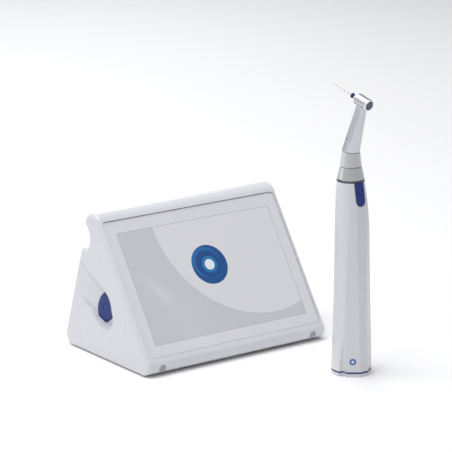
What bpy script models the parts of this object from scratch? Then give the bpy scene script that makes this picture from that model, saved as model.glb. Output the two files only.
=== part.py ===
"""Endodontic motor: a wedge-shaped touch console and the cordless handpiece that stands in front of it.

Metres, +Z up. The origin lies on the table, midway between the console's back and the handpiece's front.
"""
import math

import bmesh
import bpy
from mathutils import Matrix, Vector

MM = 0.001
GAP = 0.3 * MM  # clearance between neighbouring pieces
OVERSHOOT = 1.0 * MM  # how far a cutter runs past the face it opens
JOIN = 0.4 * MM  # how far two shapes of one piece run into each other

# Console, overall
CONSOLE_WIDTH = 179.0 * MM
CONSOLE_DEPTH = 121.0 * MM
CONSOLE_HEIGHT = 117.3 * MM  # above its own lower edge
FOOT_LIFT = 1.5 * MM
FRONT_SLOPE = math.radians(55.8)
REAR_SLOPE = math.radians(72.0)
WALL = 2.5 * MM
FRONT_WALL = 5.0 * MM
SIDE_ROUNDING = 3.6 * MM
SIDE_STEPS = 3
NOSE_RADIUS = 7.0 * MM
REAR_RADIUS = 8.0 * MM
ARCH_RADIUS = 11.3 * MM
TIP_RADIUS = 1.2 * MM
TIP_RADIUS_LEAST = 0.2 * MM
LIP_RADIUS = 4.0 * MM
CRADLE_RADIUS = 12.2 * MM
CRADLE_BACK = 17.0 * MM  # cradle axis behind the arch axis
CRADLE_DROP = 10.6 * MM  # cradle axis below the arch axis
SHELF_DROP = 9.2 * MM  # shelf below the cradle axis

# Display stack, in the frame of the sloping front
GLASS_WIDTH = 171.2 * MM
GLASS_HEIGHT = 118.0 * MM
GLASS_THICKNESS = 1.8 * MM
GLASS_CORNER = 3.0 * MM
GLASS_SUNK = 0.8 * MM
GLASS_LOWER_MARGIN = 3.4 * MM
PANEL_WIDTH = 163.0 * MM
PANEL_HEIGHT = 105.0 * MM
PANEL_THICKNESS = 4.5 * MM
PANEL_CORNER = 1.5 * MM
BRACKET_THICKNESS = 1.0 * MM
BRACKET_MARGIN = 5.4 * MM  # bracket beyond the panel
BRACKET_RIM = 12.0 * MM
BRACKET_BOSS_RADIUS = 2.4 * MM
BRACKET_SCREW_SHANK = 0.9 * MM
BRACKET_SCREW_HEAD = 1.9 * MM
BRACKET_SCREW_HEAD_HEIGHT = 1.2 * MM
BRACKET_SCREW_LENGTH = 4.6 * MM
BRACKET_SCREW_HOLE = 3.0 * MM  # how far its hole runs into the boss

# Side scoop and power button, in the frame of the scoop's floor
SCOOP_TILT = math.radians(13.0)
SCOOP_HINGE_FROM_REAR = 22.0 * MM  # where the floor leaves the side, ahead of the console's back
SCOOP_CENTRE = (35.6 * MM, 35.6 * MM)  # forward along the floor, and above the console's lower edge
SCOOP_RADIUS = 9.5 * MM
SCOOP_UPPER = 17.0 * MM
SCOOP_UPPER_ANGLE = math.radians(60.0)
SCOOP_FRONT_ANGLE = math.radians(29.0)
SCOOP_LOWER_ANGLE = math.radians(-120.0)
SCOOP_BULGE = 2.2 * MM  # how far the front edge bows forward
SCOOP_DRAFT = 0.25
SCOOP_REACH = 24.0 * MM
BUTTON_CENTRE = (31.0 * MM, 40.7 * MM)
BUTTON_HALF_LENGTH = 13.4 * MM
BUTTON_HALF_WIDTH = 9.0 * MM
BUTTON_TILT = math.radians(20.0)
BUTTON_PROUD = 1.0 * MM
BUTTON_TRAVEL = 0.8 * MM
BUTTON_FLANGE = 1.4 * MM
BUTTON_FLANGE_THICKNESS = 1.2 * MM
BUTTON_STEM = 2.0 * MM
BUTTON_POST_RADIUS = 1.6 * MM
BUTTON_POST_CLEAR = 2.6 * MM  # post centre beyond the button's flange
SWITCH_SIZE = 6.0 * MM
SWITCH_HEIGHT = 3.0 * MM
BUTTON_BOARD_WIDTH = 15.0 * MM
BUTTON_BOARD_THICKNESS = 1.6 * MM
SCOOP_MOUTH = 40.0 * MM  # cutters for the scoop run this far out of its floor

# Base of the console
BASE_THICKNESS = 2.4 * MM
BASE_FIT = 0.4 * MM
BASE_LEDGE = 1.5 * MM  # flat rim of the housing's lower edge, in from its two rounded ends
FOOT_RADIUS = 6.0 * MM
FOOT_SUNK = 0.8 * MM
FOOT_INSET = (20.0 * MM, 12.0 * MM)  # foot centre in from the base plate's side and ends
SCREW_SHANK = 1.45 * MM
SCREW_HEAD = 2.8 * MM
SCREW_HEAD_HEIGHT = 1.4 * MM
SCREW_LENGTH = 9.0 * MM
POST_RADIUS = 4.0 * MM
POST_INSET = (3.2 * MM, 9.0 * MM)  # post centre in from the side wall, and from the base plate's ends
POST_HEIGHT = 14.0 * MM
BOARD = (110.0 * MM, 52.0 * MM, 1.6 * MM)
BOARD_HEIGHT = 8.0 * MM
BOARD_POST_RADIUS = 3.0 * MM
BOARD_POST_INSET = 4.5 * MM
CHIPS = (  # middle across and forward, then width, depth and height, all in mm
    (-20, 5, 16, 16, 2.0),
    (12, -4, 12, 9, 1.6),
    (38, 10, 14, 12, 6.0),
    (-44, -12, 9, 20, 5.0),
)
SPEAKER_RADIUS = 12.0 * MM
SPEAKER_HEIGHT = 5.0 * MM
SPEAKER_RIM = 0.8  # share of the radius inside the rim
SPEAKER_SIDE = 26.4 * MM  # speaker centre in from the base plate's side
INLET_RADIUS = 5.5 * MM
INLET_SOCKET = 3.0 * MM
INLET_PIN = 1.0 * MM
INLET_HEIGHT = 18.0 * MM
INLET_SIDE = 50.0 * MM
INLET_DEPTH = 12.0 * MM
INLET_SHOULDER = 0.85  # share of the radius behind the wall
INLET_SOCKET_DEPTH = 9.6 * MM
INLET_HOLE_DEPTH = 6.5 * MM
COIL_RADIUS = 3.6 * MM
COIL_HEIGHT = 2.0 * MM
COIL_LENGTH = 40.0 * MM
COIL_HOLE_WIDTH = 1.8 * MM
PLUG_RADIUS = 2.9 * MM
PLUG_DEPTH = 2.4 * MM
PLUG_INSET = 13.9 * MM  # plug centre in from the console's side
PLUG_ANGLE = math.radians(200.0)

# Handpiece body; heights are above the table, offsets run from the nose axis towards -Y
STANDOFF = 95.7 * MM  # from the handpiece's front to the console's nose
HANDPIECE_X = 53.0 * MM
BASE_RADIUS = 16.6 * MM
BASE_OFFSET = 4.6 * MM
CAP_HEIGHT = 2.6 * MM
CAP_ROUNDING = 0.6 * MM
SEAL_HEIGHT = 0.8 * MM
SEAL_INSET = 0.1 * MM
SLEEVE_BOTTOM = CAP_HEIGHT + SEAL_HEIGHT + 2 * GAP
SLEEVE_TOP = 156.5 * MM
SLEEVE_WALL = 1.8 * MM
NOSE_RING_RADIUS = 11.15 * MM
WAIST_HEIGHT = 124.0 * MM
WAIST_RADIUS = 13.6 * MM
WAIST_OFFSET = 2.5 * MM
SHOULDER_HEIGHT = 141.0 * MM
SHOULDER_RADIUS = 12.6 * MM
SHOULDER_OFFSET = 1.4 * MM
FRONT_FLAT = (1.0 * MM, 0.6 * MM)  # depth of the front flat at the foot and at the shoulder
SIDE_FLAT = 1.9 * MM  # depth of the flats beside it at the foot; they run out at the shoulder
SIDE_FLAT_TURN = math.radians(36.0)
BODY_SIDES = 32
BODY_LEVELS = (31 * MM, 62 * MM, 93 * MM, WAIST_HEIGHT, 133 * MM, SHOULDER_HEIGHT, 149 * MM)
BODY_SWELL = 0.5 * MM  # how far the long lower stretch draws in between its ends
FLUTE_RADIUS = 3.2 * MM
FLUTE_TIP_RADIUS = 1.3 * MM
FLUTE_WALL = 1.3 * MM  # wall left behind a flute
FLUTE_HEIGHT = 31.0 * MM
FLUTE_ANGLES = (math.radians(204.0), math.radians(336.0))
SPIGOT_RADIUS = 11.6 * MM
SPIGOT_WALL = 1.8 * MM
SPIGOT_HEIGHT = 5.4 * MM
RECEIVER_RADIUS = 9.2 * MM
RECEIVER_HEIGHT = 2.0 * MM
CELL_RADIUS = 9.2 * MM
CELL_HEIGHT = 64.0 * MM
CELL_OFFSET = 3.4 * MM
FRAME_DISC = 2.0 * MM
FRAME_RADIUS = 11.9 * MM
SPINE = (8.0 * MM, 2.0 * MM)
SPINE_BACK = 6.1 * MM
MOTOR_RADIUS = 7.5 * MM
MOTOR_LENGTH = 42.0 * MM
MOTOR_WALL = 0.9 * MM
MOTOR_ROOF = 1.5 * MM
MAGNET_CLEAR = 1.4 * MM  # from the can's inner wall to the magnet
BELL_HEIGHT = 7.0 * MM
BELL_FLOOR = 1.5 * MM
BELL_RIM = 1.7 * MM
BELL_DROP = 2.0 * MM  # bell's lower face below the can's
SHAFT_RADIUS = 1.5 * MM
BEARING_RADIUS = 4.2 * MM
BEARING_HEIGHT = 3.0 * MM
HAND_BOARD = (10.0 * MM, 1.2 * MM, 56.0 * MM)
HAND_BOARD_CLEAR = 0.6 * MM
HAND_BOARD_BACK = MOTOR_RADIUS + HAND_BOARD_CLEAR  # its motor side, in front of the nose axis
FINGER_WIDTH = 8.6 * MM
FINGER_LENGTH = 18.3 * MM
FINGER_THICKNESS = 1.3 * MM
FINGER_PROUD = 0.3 * MM
FINGER_TRAVEL = 0.6 * MM
FINGER_STEM = 1.4 * MM
FINGER_MIDDLE = 4.8 * MM  # middle of the stem, above the button's lower end
FINGER_SWITCH = (2.0 * MM, 0.8 * MM, 2.4 * MM)  # half width, thickness and half height
FINGER_CUT = (4.0 * MM, 30.0 * MM)  # the slot's cutter runs between these distances in front

# Nose and coupling
NOSE_TOP = 170.0 * MM
NOSE_RADIUS_OUT = 5.2 * MM
NOSE_BORE = 4.2 * MM
NOSE_FLANGE_RADIUS = 9.0 * MM
NOSE_FLANGE_HEIGHT = 6.2 * MM
RING_HEIGHT = 1.3 * MM
O_RING_HEIGHT = 165.5 * MM
O_RING_SECTION = 0.4 * MM
O_RING_SIDES = 6
DOG_TEETH = 12
DOG_ROOT = 1.9 * MM
DOG_TIP = 2.6 * MM
DOG_LENGTH = 6.0 * MM
DOG_SUNK = 9.5 * MM  # dog's lower face below the tube's end
DOG_HEADROOM = 0.6 * MM
DOG_FLANK = 0.3  # share of a tooth's pitch that the tooth fills
TOOTH_CLEARANCE = 0.35 * MM
FACE_STEP = 0.02 * MM  # keeps the end faces of joined shapes apart
NOSE_CHAMFER = 0.4 * MM
FIT_STEP = 0.1 * MM  # how much a ring is smaller than the one below

# Contra-angle
SWIVEL_REST = math.radians(5.5)
SLEEVE_SPLIT = 168.2 * MM
SPLIT_RADIUS = 8.8 * MM
CONTRA_CHAMFER = 0.3 * MM
MITRE_OVERRUN = 3.0 * MM  # the two halves run this far past the bend before they are mitred
CONTRA_SIDES = 28
SHAFT_SEAT_CLEAR = 1.2 * MM  # bearing seat above the nose tube
SHAFT_SEAT_HEIGHT = 3.4 * MM
BEND_HEIGHT = 180.7 * MM
BEND_RADIUS = 7.05 * MM
BEND_ANGLE = math.radians(17.0)
NECK_LENGTH = 42.7 * MM
NECK_TOP_RADIUS = 3.9 * MM
NECK_FLAT = (8.5 * MM, 2.8 * MM)  # flat on either side: its lower end above the bend, and its half width
NECK_FLAT_DEPTH = 0.9 * MM
CONTRA_BORE = 5.5 * MM
BEARING_SEAT_RADIUS = 4.3 * MM
KNEE_BORE = 3.4 * MM
KNEE_BORE_DEPTH = 3.4 * MM
NECK_BORE = 2.5 * MM
LOWER_SHAFT_RADIUS = 1.2 * MM
UPPER_SHAFT_RADIUS = 0.8 * MM
KNEE_TEETH = 6
KNEE_ROOT = 1.3 * MM
KNEE_TIP = 2.0 * MM
KNEE_THICKNESS = 0.8 * MM
KNEE_REACH = 1.5 * MM
CUP_WALL = 0.6 * MM
CUP_DEPTH = 2.8 * MM
KNEE_SHARE = 0.28  # share of a lobe's pitch that the lobe fills
SOCKET_CLEAR = 0.5 * MM  # from the tube's bore to the drive shaft's socket
SOCKET_SHARE = 0.9  # how much narrower the socket's teeth are than the dog's
SHAFT_STEP = 1.0 * MM
NECK_BEARING_HEIGHT = 2.5 * MM

# Head, in the frame of the file's axis
FILE_RISE = math.radians(16.0)
HEAD_RADIUS = 4.7 * MM
HEAD_FRONT = 6.4 * MM
HEAD_BACK = 5.3 * MM
HEAD_BORE = 3.9 * MM
HEAD_FACE = 1.0 * MM
HEAD_CHAMFER = 0.8 * MM
HEAD_SIDES = 36
HEAD_BORE_SIDES = 32
CAP_RING_HEIGHT = 2.0 * MM
CAP_RING_CHAMFER = 0.5 * MM
HEAD_CAP_RADIUS = 3.4 * MM
HEAD_CAP_HEIGHT = 1.7 * MM
HEAD_CAP_PROUD = 0.6 * MM
HEAD_CAP_CHAMFER = 0.4 * MM
HEAD_CAP_TRAVEL = 0.8 * MM
SPINDLE_RADIUS = 2.1 * MM
SPINDLE_BORE = 1.48 * MM
SPINDLE_TAIL = 1.9 * MM  # tube behind the crown wheel
SPINDLE_PROUD = 0.4 * MM
REAR_BEARING_STEP = 0.1 * MM
FRONT_BEARING_HEIGHT = 1.5 * MM
CROWN_RADIUS = 3.5 * MM
CROWN_THICKNESS = 0.8 * MM
CROWN_TEETH = 12
PINION_TEETH = 6
PINION_ROOT = 1.15 * MM
PINION_TIP = 1.95 * MM
PINION_NEAR = 2.6 * MM  # the pinion's faces, from the head's axis
PINION_FAR = 3.5 * MM
TOOTH_WIDTH = 0.5 * MM
TOOTH_MESH = 0.6 * MM
CROWN_TOOTH_REACH = 0.2 * MM  # crown tooth beyond the pinion's inner face
CROWN_TOOTH_INSET = 0.1 * MM

# File
SHANK_RADIUS = 1.175 * MM
SHANK_OUT = 2.0 * MM
BLADE_OUT = 31.0 * MM
BLADE_RADIUS = 0.6 * MM
BLADE_SOCKET = 2.4 * MM
SHANK_END_INSET = 0.6 * MM
BLADE_TIP_RADIUS = 0.15 * MM
BLADE_TIP_LENGTH = 0.3 * MM
BLADE_PARALLEL = 5.6 * MM
STOPPER_RADIUS = 2.15 * MM
STOPPER_THICKNESS = 1.6 * MM
STOPPER_OUT = 4.6 * MM
STOPPER_ROUNDING = 0.4 * MM
MACHINED_SIDES = 18
SCREW_SIDES = 10

TOTAL_DEPTH = STANDOFF + CONSOLE_DEPTH
REAR_Y = TOTAL_DEPTH / 2
NOSE_FRONT_Y = REAR_Y - CONSOLE_DEPTH
NOSE_AXIS_Y = -TOTAL_DEPTH / 2 + BASE_RADIUS + BASE_OFFSET


def clear_scene():
    """Remove whatever the scene holds."""
    for obj in list(bpy.data.objects):
        bpy.data.objects.remove(obj)


def new_collection(name):
    """Make a collection in the scene."""
    collection = bpy.data.collections.new(name)
    bpy.context.scene.collection.children.link(collection)
    return collection


def make_material(name, colour, roughness, metallic=0.0):
    """Make a Principled material from a linear RGB colour."""
    material = bpy.data.materials.new(name)
    material.use_nodes = True
    shader = material.node_tree.nodes["Principled BSDF"]
    shader.inputs["Base Color"].default_value = (*colour, 1.0)
    shader.inputs["Roughness"].default_value = roughness
    shader.inputs["Metallic"].default_value = metallic
    material.diffuse_color = (*colour, 1.0)
    return material


clear_scene()
PIECES = new_collection("endodontic_motor")
CUTTERS = new_collection("cutters")
WHITE = make_material("white_housing", (0.72, 0.72, 0.74), 0.25)
BLUE = make_material("blue_button", (0.03, 0.09, 0.26), 0.35)
GREY = make_material("grey_plug", (0.45, 0.45, 0.46), 0.5)
GLASS = make_material("screen_glass", (0.62, 0.62, 0.66), 0.08)
STEEL = make_material("satin_steel", (0.6, 0.6, 0.62), 0.3, 1.0)
DARK = make_material("dark_steel", (0.12, 0.12, 0.14), 0.35, 1.0)
RUBBER = make_material("black_rubber", (0.03, 0.03, 0.03), 0.8)
BOARD_GREEN = make_material("circuit_board", (0.02, 0.16, 0.08), 0.5)
BLACK = make_material("black_plastic", (0.02, 0.02, 0.02), 0.5)
COPPER = make_material("copper_winding", (0.6, 0.25, 0.12), 0.35, 1.0)
BRASS = make_material("brass_bearing", (0.6, 0.45, 0.18), 0.3, 1.0)
NITI = make_material("gold_niti", (0.55, 0.42, 0.3), 0.3, 1.0)
SILICONE = make_material("blue_silicone", (0.05, 0.12, 0.4), 0.5)


def empty(name, location, rotation=(0, 0, 0), owner=None):
    """Place a frame that pieces are parented to."""
    frame = bpy.data.objects.new(name, None)
    CUTTERS.objects.link(frame)
    frame.parent = owner
    frame.location = location
    frame.rotation_euler = rotation
    return frame


def place(obj, owner, finish):
    """Link an object: with a finish it is a piece, without one it is a cutter."""
    obj.parent = owner
    if finish:
        PIECES.objects.link(obj)
        obj.data.materials.append(finish)
    else:
        CUTTERS.objects.link(obj)
        obj.hide_render = True
        obj.display_type = "WIRE"
    return obj


def from_bmesh(name, bm, owner, finish):
    """Turn a bmesh into an object with smooth round sides."""
    mesh = bpy.data.meshes.new(name)
    bm.to_mesh(mesh)
    bm.free()
    mesh.shade_smooth()
    mesh.set_sharp_from_angle(angle=math.radians(35))
    return place(bpy.data.objects.new(name, mesh), owner, finish)


def box(name, low, high, owner=None, finish=None):
    """A box between two corners."""
    bm = bmesh.new()
    low, high = Vector(low), Vector(high)
    bmesh.ops.create_cube(bm, size=1.0)
    bmesh.ops.scale(bm, vec=high - low, verts=bm.verts)
    bmesh.ops.translate(bm, vec=(low + high) / 2, verts=bm.verts)
    return from_bmesh(name, bm, owner, finish)


def rod(name, radius, low, high, owner=None, finish=None, centre=(0, 0), sides=20, top_radius=None):
    """A cylinder, or a cone, that stands along Z."""
    bm = bmesh.new()
    top = radius if top_radius is None else top_radius
    bmesh.ops.create_cone(bm, cap_ends=True, segments=sides, radius1=radius, radius2=top,
                          depth=high - low)
    bmesh.ops.translate(bm, vec=(*centre, (low + high) / 2), verts=bm.verts)
    return from_bmesh(name, bm, owner, finish)


def turned(name, profile, owner=None, finish=None, ring=False, steps=20, centre=(0, 0)):
    """Spin a (radius, height) profile about Z; the profile of a ring closes on itself."""
    points = [(radius, 0, height) for radius, height in profile]
    edges = [(i, i + 1) for i in range(len(points) - 1)]
    if ring:
        edges.append((len(points) - 1, 0))
    mesh = bpy.data.meshes.new(name)
    mesh.from_pydata(points, edges, [])
    obj = place(bpy.data.objects.new(name, mesh), owner, finish)
    obj.location = (*centre, 0)
    screw = obj.modifiers.new("Turning", "SCREW")
    screw.steps = steps
    screw.render_steps = steps
    screw.use_merge_vertices = True
    screw.merge_threshold = 0.00001
    return obj


def tube(name, outer, inner, low, high, owner=None, finish=None, steps=20, centre=(0, 0)):
    """A plain ring between two heights."""
    profile = [(outer, high), (outer, low), (inner, low), (inner, high)]
    return turned(name, profile, owner, finish, ring=True, steps=steps, centre=centre)


def flat_solid(name, outline, low, high, owner=None, finish=None, turn=Matrix()):
    """Extrude a closed (x, y) outline between two heights, then turn it."""
    curve = bpy.data.curves.new(name, "CURVE")
    curve.dimensions = "2D"
    curve.fill_mode = "BOTH"
    curve.extrude = (high - low) / 2
    spline = curve.splines.new("POLY")
    spline.points.add(len(outline) - 1)
    for point, (x, y) in zip(spline.points, outline):
        point.co = (x, y, 0, 1)
    spline.use_cyclic_u = True
    draft = bpy.data.objects.new(name + "_outline", curve)
    CUTTERS.objects.link(draft)
    bpy.context.view_layer.update()
    depsgraph = bpy.context.evaluated_depsgraph_get()
    mesh = bpy.data.meshes.new_from_object(draft.evaluated_get(depsgraph))
    bpy.data.objects.remove(draft)
    bm = bmesh.new()
    bm.from_mesh(mesh)
    bpy.data.meshes.remove(mesh)
    bmesh.ops.remove_doubles(bm, verts=bm.verts, dist=0.000001)
    bmesh.ops.translate(bm, vec=(0, 0, (low + high) / 2), verts=bm.verts)
    bmesh.ops.recalc_face_normals(bm, faces=bm.faces)
    bmesh.ops.transform(bm, matrix=turn, verts=bm.verts)
    return from_bmesh(name, bm, owner, finish)


def loft(name, rings, owner=None, finish=None):
    """Skin a row of unlike rings that hold equally many points, and close both ends."""
    bm = bmesh.new()
    rows = [[bm.verts.new(point) for point in ring] for ring in rings]
    count = len(rows[0])
    for near, far in zip(rows, rows[1:]):
        for i in range(count):
            j = (i + 1) % count
            bm.faces.new((near[i], near[j], far[j], far[i]))
    bm.faces.new(rows[0])
    bm.faces.new(rows[-1])
    bmesh.ops.recalc_face_normals(bm, faces=bm.faces)
    return from_bmesh(name, bm, owner, finish)


def boolean(target, other, operation):
    """Cut another solid from the target, join it on, or keep what both share."""
    modifier = target.modifiers.new(other.name, "BOOLEAN")
    modifier.operation = operation
    modifier.object = other


def cut(target, *cutters):
    """Cut solids away from a piece."""
    for cutter in cutters:
        boolean(target, cutter, "DIFFERENCE")


def join(target, *others):
    """Join solids onto a piece."""
    for other in others:
        boolean(target, other, "UNION")


def arc(centre, radius, start, end, steps, upright=None):
    """Points along an arc, angles in radians from the first axis; upright is the radius below its centre."""
    points = []
    for i in range(steps + 1):
        angle = start + (end - start) * i / steps
        rise = upright if upright and math.sin(angle) < 0 else radius
        points.append((centre[0] + radius * math.cos(angle), centre[1] + rise * math.sin(angle)))
    return points


def rounded_rectangle(width, height, radius, steps=4):
    """Outline of a rectangle with round corners, about the origin."""
    points = []
    x, y = width / 2 - radius, height / 2 - radius
    for i, corner in enumerate(((x, y), (-x, y), (-x, -y), (x, -y))):
        points += arc(corner, radius, i * math.pi / 2, (i + 1) * math.pi / 2, steps)
    return points


def gear_outline(teeth, root, tip, share, phase=0.0):
    """Outline of a star wheel whose teeth each fill a share of their pitch at the tip."""
    points = []
    pitch = 2 * math.pi / teeth
    for i in range(teeth):
        middle = phase + i * pitch
        for radius, offset in ((root, -share), (tip, -share / 2), (tip, share / 2), (root, share)):
            angle = middle + offset * pitch
            points.append((radius * math.cos(angle), radius * math.sin(angle)))
    return points


def screw_piece(name, shank, head, length, low, owner, finish, centre):
    """A screw whose head, a (radius, height), sits at the lower end and whose shank runs up."""
    radius, height = head
    profile = [(0, low + length), (shank, low + length), (shank, low + height), (radius, low + height),
               (radius, low), (0, low)]
    return turned(name, profile, owner, finish, steps=SCREW_SIDES, centre=centre)


# Console -------------------------------------------------------------------------------------------

NORMAL = (-math.sin(FRONT_SLOPE), math.cos(FRONT_SLOPE))
UP_SLOPE = (math.cos(FRONT_SLOPE), math.sin(FRONT_SLOPE))
REAR_NORMAL = (math.sin(REAR_SLOPE), math.cos(REAR_SLOPE))
NOSE_CENTRE = (NOSE_FRONT_Y + NOSE_RADIUS, NOSE_RADIUS)
REAR_CENTRE = (REAR_Y - REAR_RADIUS, REAR_RADIUS)


def along(direction, point):
    """Distance of a point along a direction, in two dimensions."""
    return direction[0] * point[0] + direction[1] * point[1]


ARCH_HEIGHT = CONSOLE_HEIGHT - ARCH_RADIUS
FRONT_PLANE = along(NORMAL, NOSE_CENTRE) + NOSE_RADIUS
ARCH_CENTRE = ((ARCH_HEIGHT * NORMAL[1] + ARCH_RADIUS - FRONT_PLANE) / -NORMAL[0], ARCH_HEIGHT)
CRADLE_CENTRE = (ARCH_CENTRE[0] + CRADLE_BACK, ARCH_CENTRE[1] - CRADLE_DROP)
SHELF_HEIGHT = CRADLE_CENTRE[1] - SHELF_DROP
REAR_PLANE = along(REAR_NORMAL, REAR_CENTRE) + REAR_RADIUS
LIP_HEIGHT = SHELF_HEIGHT - LIP_RADIUS
LIP_CENTRE = ((REAR_PLANE - LIP_RADIUS - LIP_HEIGHT * REAR_NORMAL[1]) / REAR_NORMAL[0], LIP_HEIGHT)
FRONT_ANGLE = math.pi / 2 + FRONT_SLOPE
CAVITY_FRONT_Y = NOSE_CENTRE[0] + BASE_LEDGE
CAVITY_REAR_Y = REAR_CENTRE[0] - BASE_LEDGE
REAR_ANGLE = math.pi / 2 - REAR_SLOPE


def tip_rounding(arch_radius, cradle_radius, radius):
    """Centre of the round tip between the arch and the cradle, and the directions where it meets them."""
    reach_a, reach_b = arch_radius - radius, cradle_radius + radius
    span = math.hypot(CRADLE_BACK, CRADLE_DROP)
    along_span = (reach_a ** 2 - reach_b ** 2 + span ** 2) / (2 * span)
    aside = math.sqrt(reach_a ** 2 - along_span ** 2)
    unit = (CRADLE_BACK / span, -CRADLE_DROP / span)
    centre = (ARCH_CENTRE[0] + unit[0] * along_span - unit[1] * aside,
              ARCH_CENTRE[1] + unit[1] * along_span + unit[0] * aside)
    leave = math.atan2(centre[1] - ARCH_CENTRE[1], centre[0] - ARCH_CENTRE[0])
    arrive = math.atan2(CRADLE_CENTRE[1] - centre[1], CRADLE_CENTRE[0] - centre[0])
    return centre, leave, arrive


def console_outline(wall, front_wall, open_below):
    """Side outline of the console as (y, height), drawn in by its walls; a cavity stays open below."""
    upright = (None, None) if open_below else (NOSE_RADIUS, REAR_RADIUS)
    points = arc(NOSE_CENTRE, NOSE_RADIUS - front_wall, 1.5 * math.pi, FRONT_ANGLE, 8, upright[0])
    arch_radius = ARCH_RADIUS - front_wall
    cradle_radius = CRADLE_RADIUS + wall
    tip_radius = max(TIP_RADIUS - wall, TIP_RADIUS_LEAST)
    tip, leave, arrive = tip_rounding(arch_radius, cradle_radius, tip_radius)
    points += arc(ARCH_CENTRE, arch_radius, FRONT_ANGLE, leave, 12)
    points += arc(tip, tip_radius, leave, arrive, 3)[1:]
    shelf_angle = math.pi + math.asin((SHELF_DROP + wall) / cradle_radius)
    points += arc(CRADLE_CENTRE, cradle_radius, arrive + math.pi, shelf_angle, 8)[1:]
    points += arc(LIP_CENTRE, max(LIP_RADIUS - wall, TIP_RADIUS_LEAST), math.pi / 2, REAR_ANGLE, 4)
    points += arc(REAR_CENTRE, REAR_RADIUS - wall, REAR_ANGLE, -math.pi / 2, 6, upright[1])
    if open_below:
        points += [(CAVITY_REAR_Y, points[-1][1]), (CAVITY_REAR_Y, -OVERSHOOT),
                   (CAVITY_FRONT_Y, -OVERSHOOT), (CAVITY_FRONT_Y, points[0][1])]
    return points


CONSOLE = empty("console_frame", (0, 0, FOOT_LIFT))
GLASS_MIDDLE = GLASS_LOWER_MARGIN + GLASS_HEIGHT / 2
SCREEN = empty("screen_frame",
               (0,
                NOSE_CENTRE[0] + NOSE_RADIUS * NORMAL[0] + GLASS_MIDDLE * UP_SLOPE[0],
                NOSE_CENTRE[1] + NOSE_RADIUS * NORMAL[1] + GLASS_MIDDLE * UP_SLOPE[1]),
               (FRONT_SLOPE, 0, 0), CONSOLE)
# Local X runs forward along the scoop's floor, local Y up, and local Z out of the floor.
SCOOP = empty("scoop_frame", (-CONSOLE_WIDTH / 2, REAR_Y - SCOOP_HINGE_FROM_REAR, 0),
              (math.pi / 2, 0, SCOOP_TILT - math.pi / 2), CONSOLE)

INNER_HALF_WIDTH = CONSOLE_WIDTH / 2 - WALL


def scoop_outline(grow):
    """Leaf-shaped outline of the scoop, let out by a width."""
    def edge(angle, distance):
        return (math.cos(angle), math.sin(angle)), distance

    def crossing(first, second):
        (a, b), p = first
        (c, d), q = second
        p += a * SCOOP_CENTRE[0] + b * SCOOP_CENTRE[1]
        q += c * SCOOP_CENTRE[0] + d * SCOOP_CENTRE[1]
        return ((p * d - q * b) / (a * d - c * b), (a * q - c * p) / (a * d - c * b))

    front = edge(SCOOP_FRONT_ANGLE, SCOOP_RADIUS + grow)
    upper = edge(SCOOP_UPPER_ANGLE, SCOOP_UPPER + grow)
    lower = edge(SCOOP_LOWER_ANGLE, SCOOP_RADIUS + grow)
    behind = edge(math.pi, SCOOP_CENTRE[0] + SCOOP_REACH)
    points = arc(SCOOP_CENTRE, SCOOP_RADIUS + grow, SCOOP_LOWER_ANGLE, SCOOP_FRONT_ANGLE, 10)
    start, end = points[-1], crossing(front, upper)
    for i in range(1, 6):
        share = i / 6
        bow = SCOOP_BULGE * math.sin(math.pi * share)
        points.append((start[0] + (end[0] - start[0]) * share + bow * math.cos(SCOOP_FRONT_ANGLE),
                       start[1] + (end[1] - start[1]) * share + bow * math.sin(SCOOP_FRONT_ANGLE)))
    return [crossing(behind, lower), *points, end, crossing(upper, behind)]


def scoop_solid(name, grow, low, high):
    """Tapered block that fills the scoop, wider away from its floor."""
    rings = []
    for height in (low, high):
        outline = scoop_outline(grow + max(height, 0.0) * SCOOP_DRAFT)
        rings.append([(x, y, height) for x, y in outline])
    return loft(name, rings, SCOOP)


def button_outline(grow, steps=40):
    """Leaning oval of the power button, let out by a width."""
    points = []
    for i in range(steps):
        angle = 2 * math.pi * i / steps
        x = (BUTTON_HALF_WIDTH + grow) * math.cos(angle)
        y = (BUTTON_HALF_LENGTH + grow) * math.sin(angle)
        points.append((BUTTON_CENTRE[0] + x * math.cos(BUTTON_TILT) + y * math.sin(BUTTON_TILT),
                       BUTTON_CENTRE[1] - x * math.sin(BUTTON_TILT) + y * math.cos(BUTTON_TILT)))
    return points


BOSS_PLACES = [(sx * (INNER_HALF_WIDTH - BRACKET_BOSS_RADIUS), sy * (PANEL_HEIGHT / 2 - BRACKET_RIM))
               for sx in (-1, 1) for sy in (-1, 1)]
PANEL_TOP = -(GLASS_SUNK + GLASS_THICKNESS + GAP)
PANEL_BACK = PANEL_TOP - PANEL_THICKNESS
BRACKET_TOP = PANEL_BACK - GAP
POST_PLACES = [(sx * (INNER_HALF_WIDTH - POST_INSET[0]), y) for sx in (-1, 1)
               for y in (CAVITY_FRONT_Y + POST_INSET[1], CAVITY_REAR_Y - POST_INSET[1])]
BUTTON_BACK = -(WALL + GAP + BUTTON_FLANGE_THICKNESS)
SWITCH_TOP = BUTTON_BACK - BUTTON_TRAVEL - GAP - BUTTON_STEM
BUTTON_BOARD_TOP = SWITCH_TOP - SWITCH_HEIGHT - GAP
BUTTON_POST_REACH = BUTTON_HALF_LENGTH + BUTTON_FLANGE + BUTTON_POST_CLEAR
BUTTON_POSTS = [(BUTTON_CENTRE[0], BUTTON_CENTRE[1] + sy * BUTTON_POST_REACH) for sy in (-1, 1)]


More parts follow.
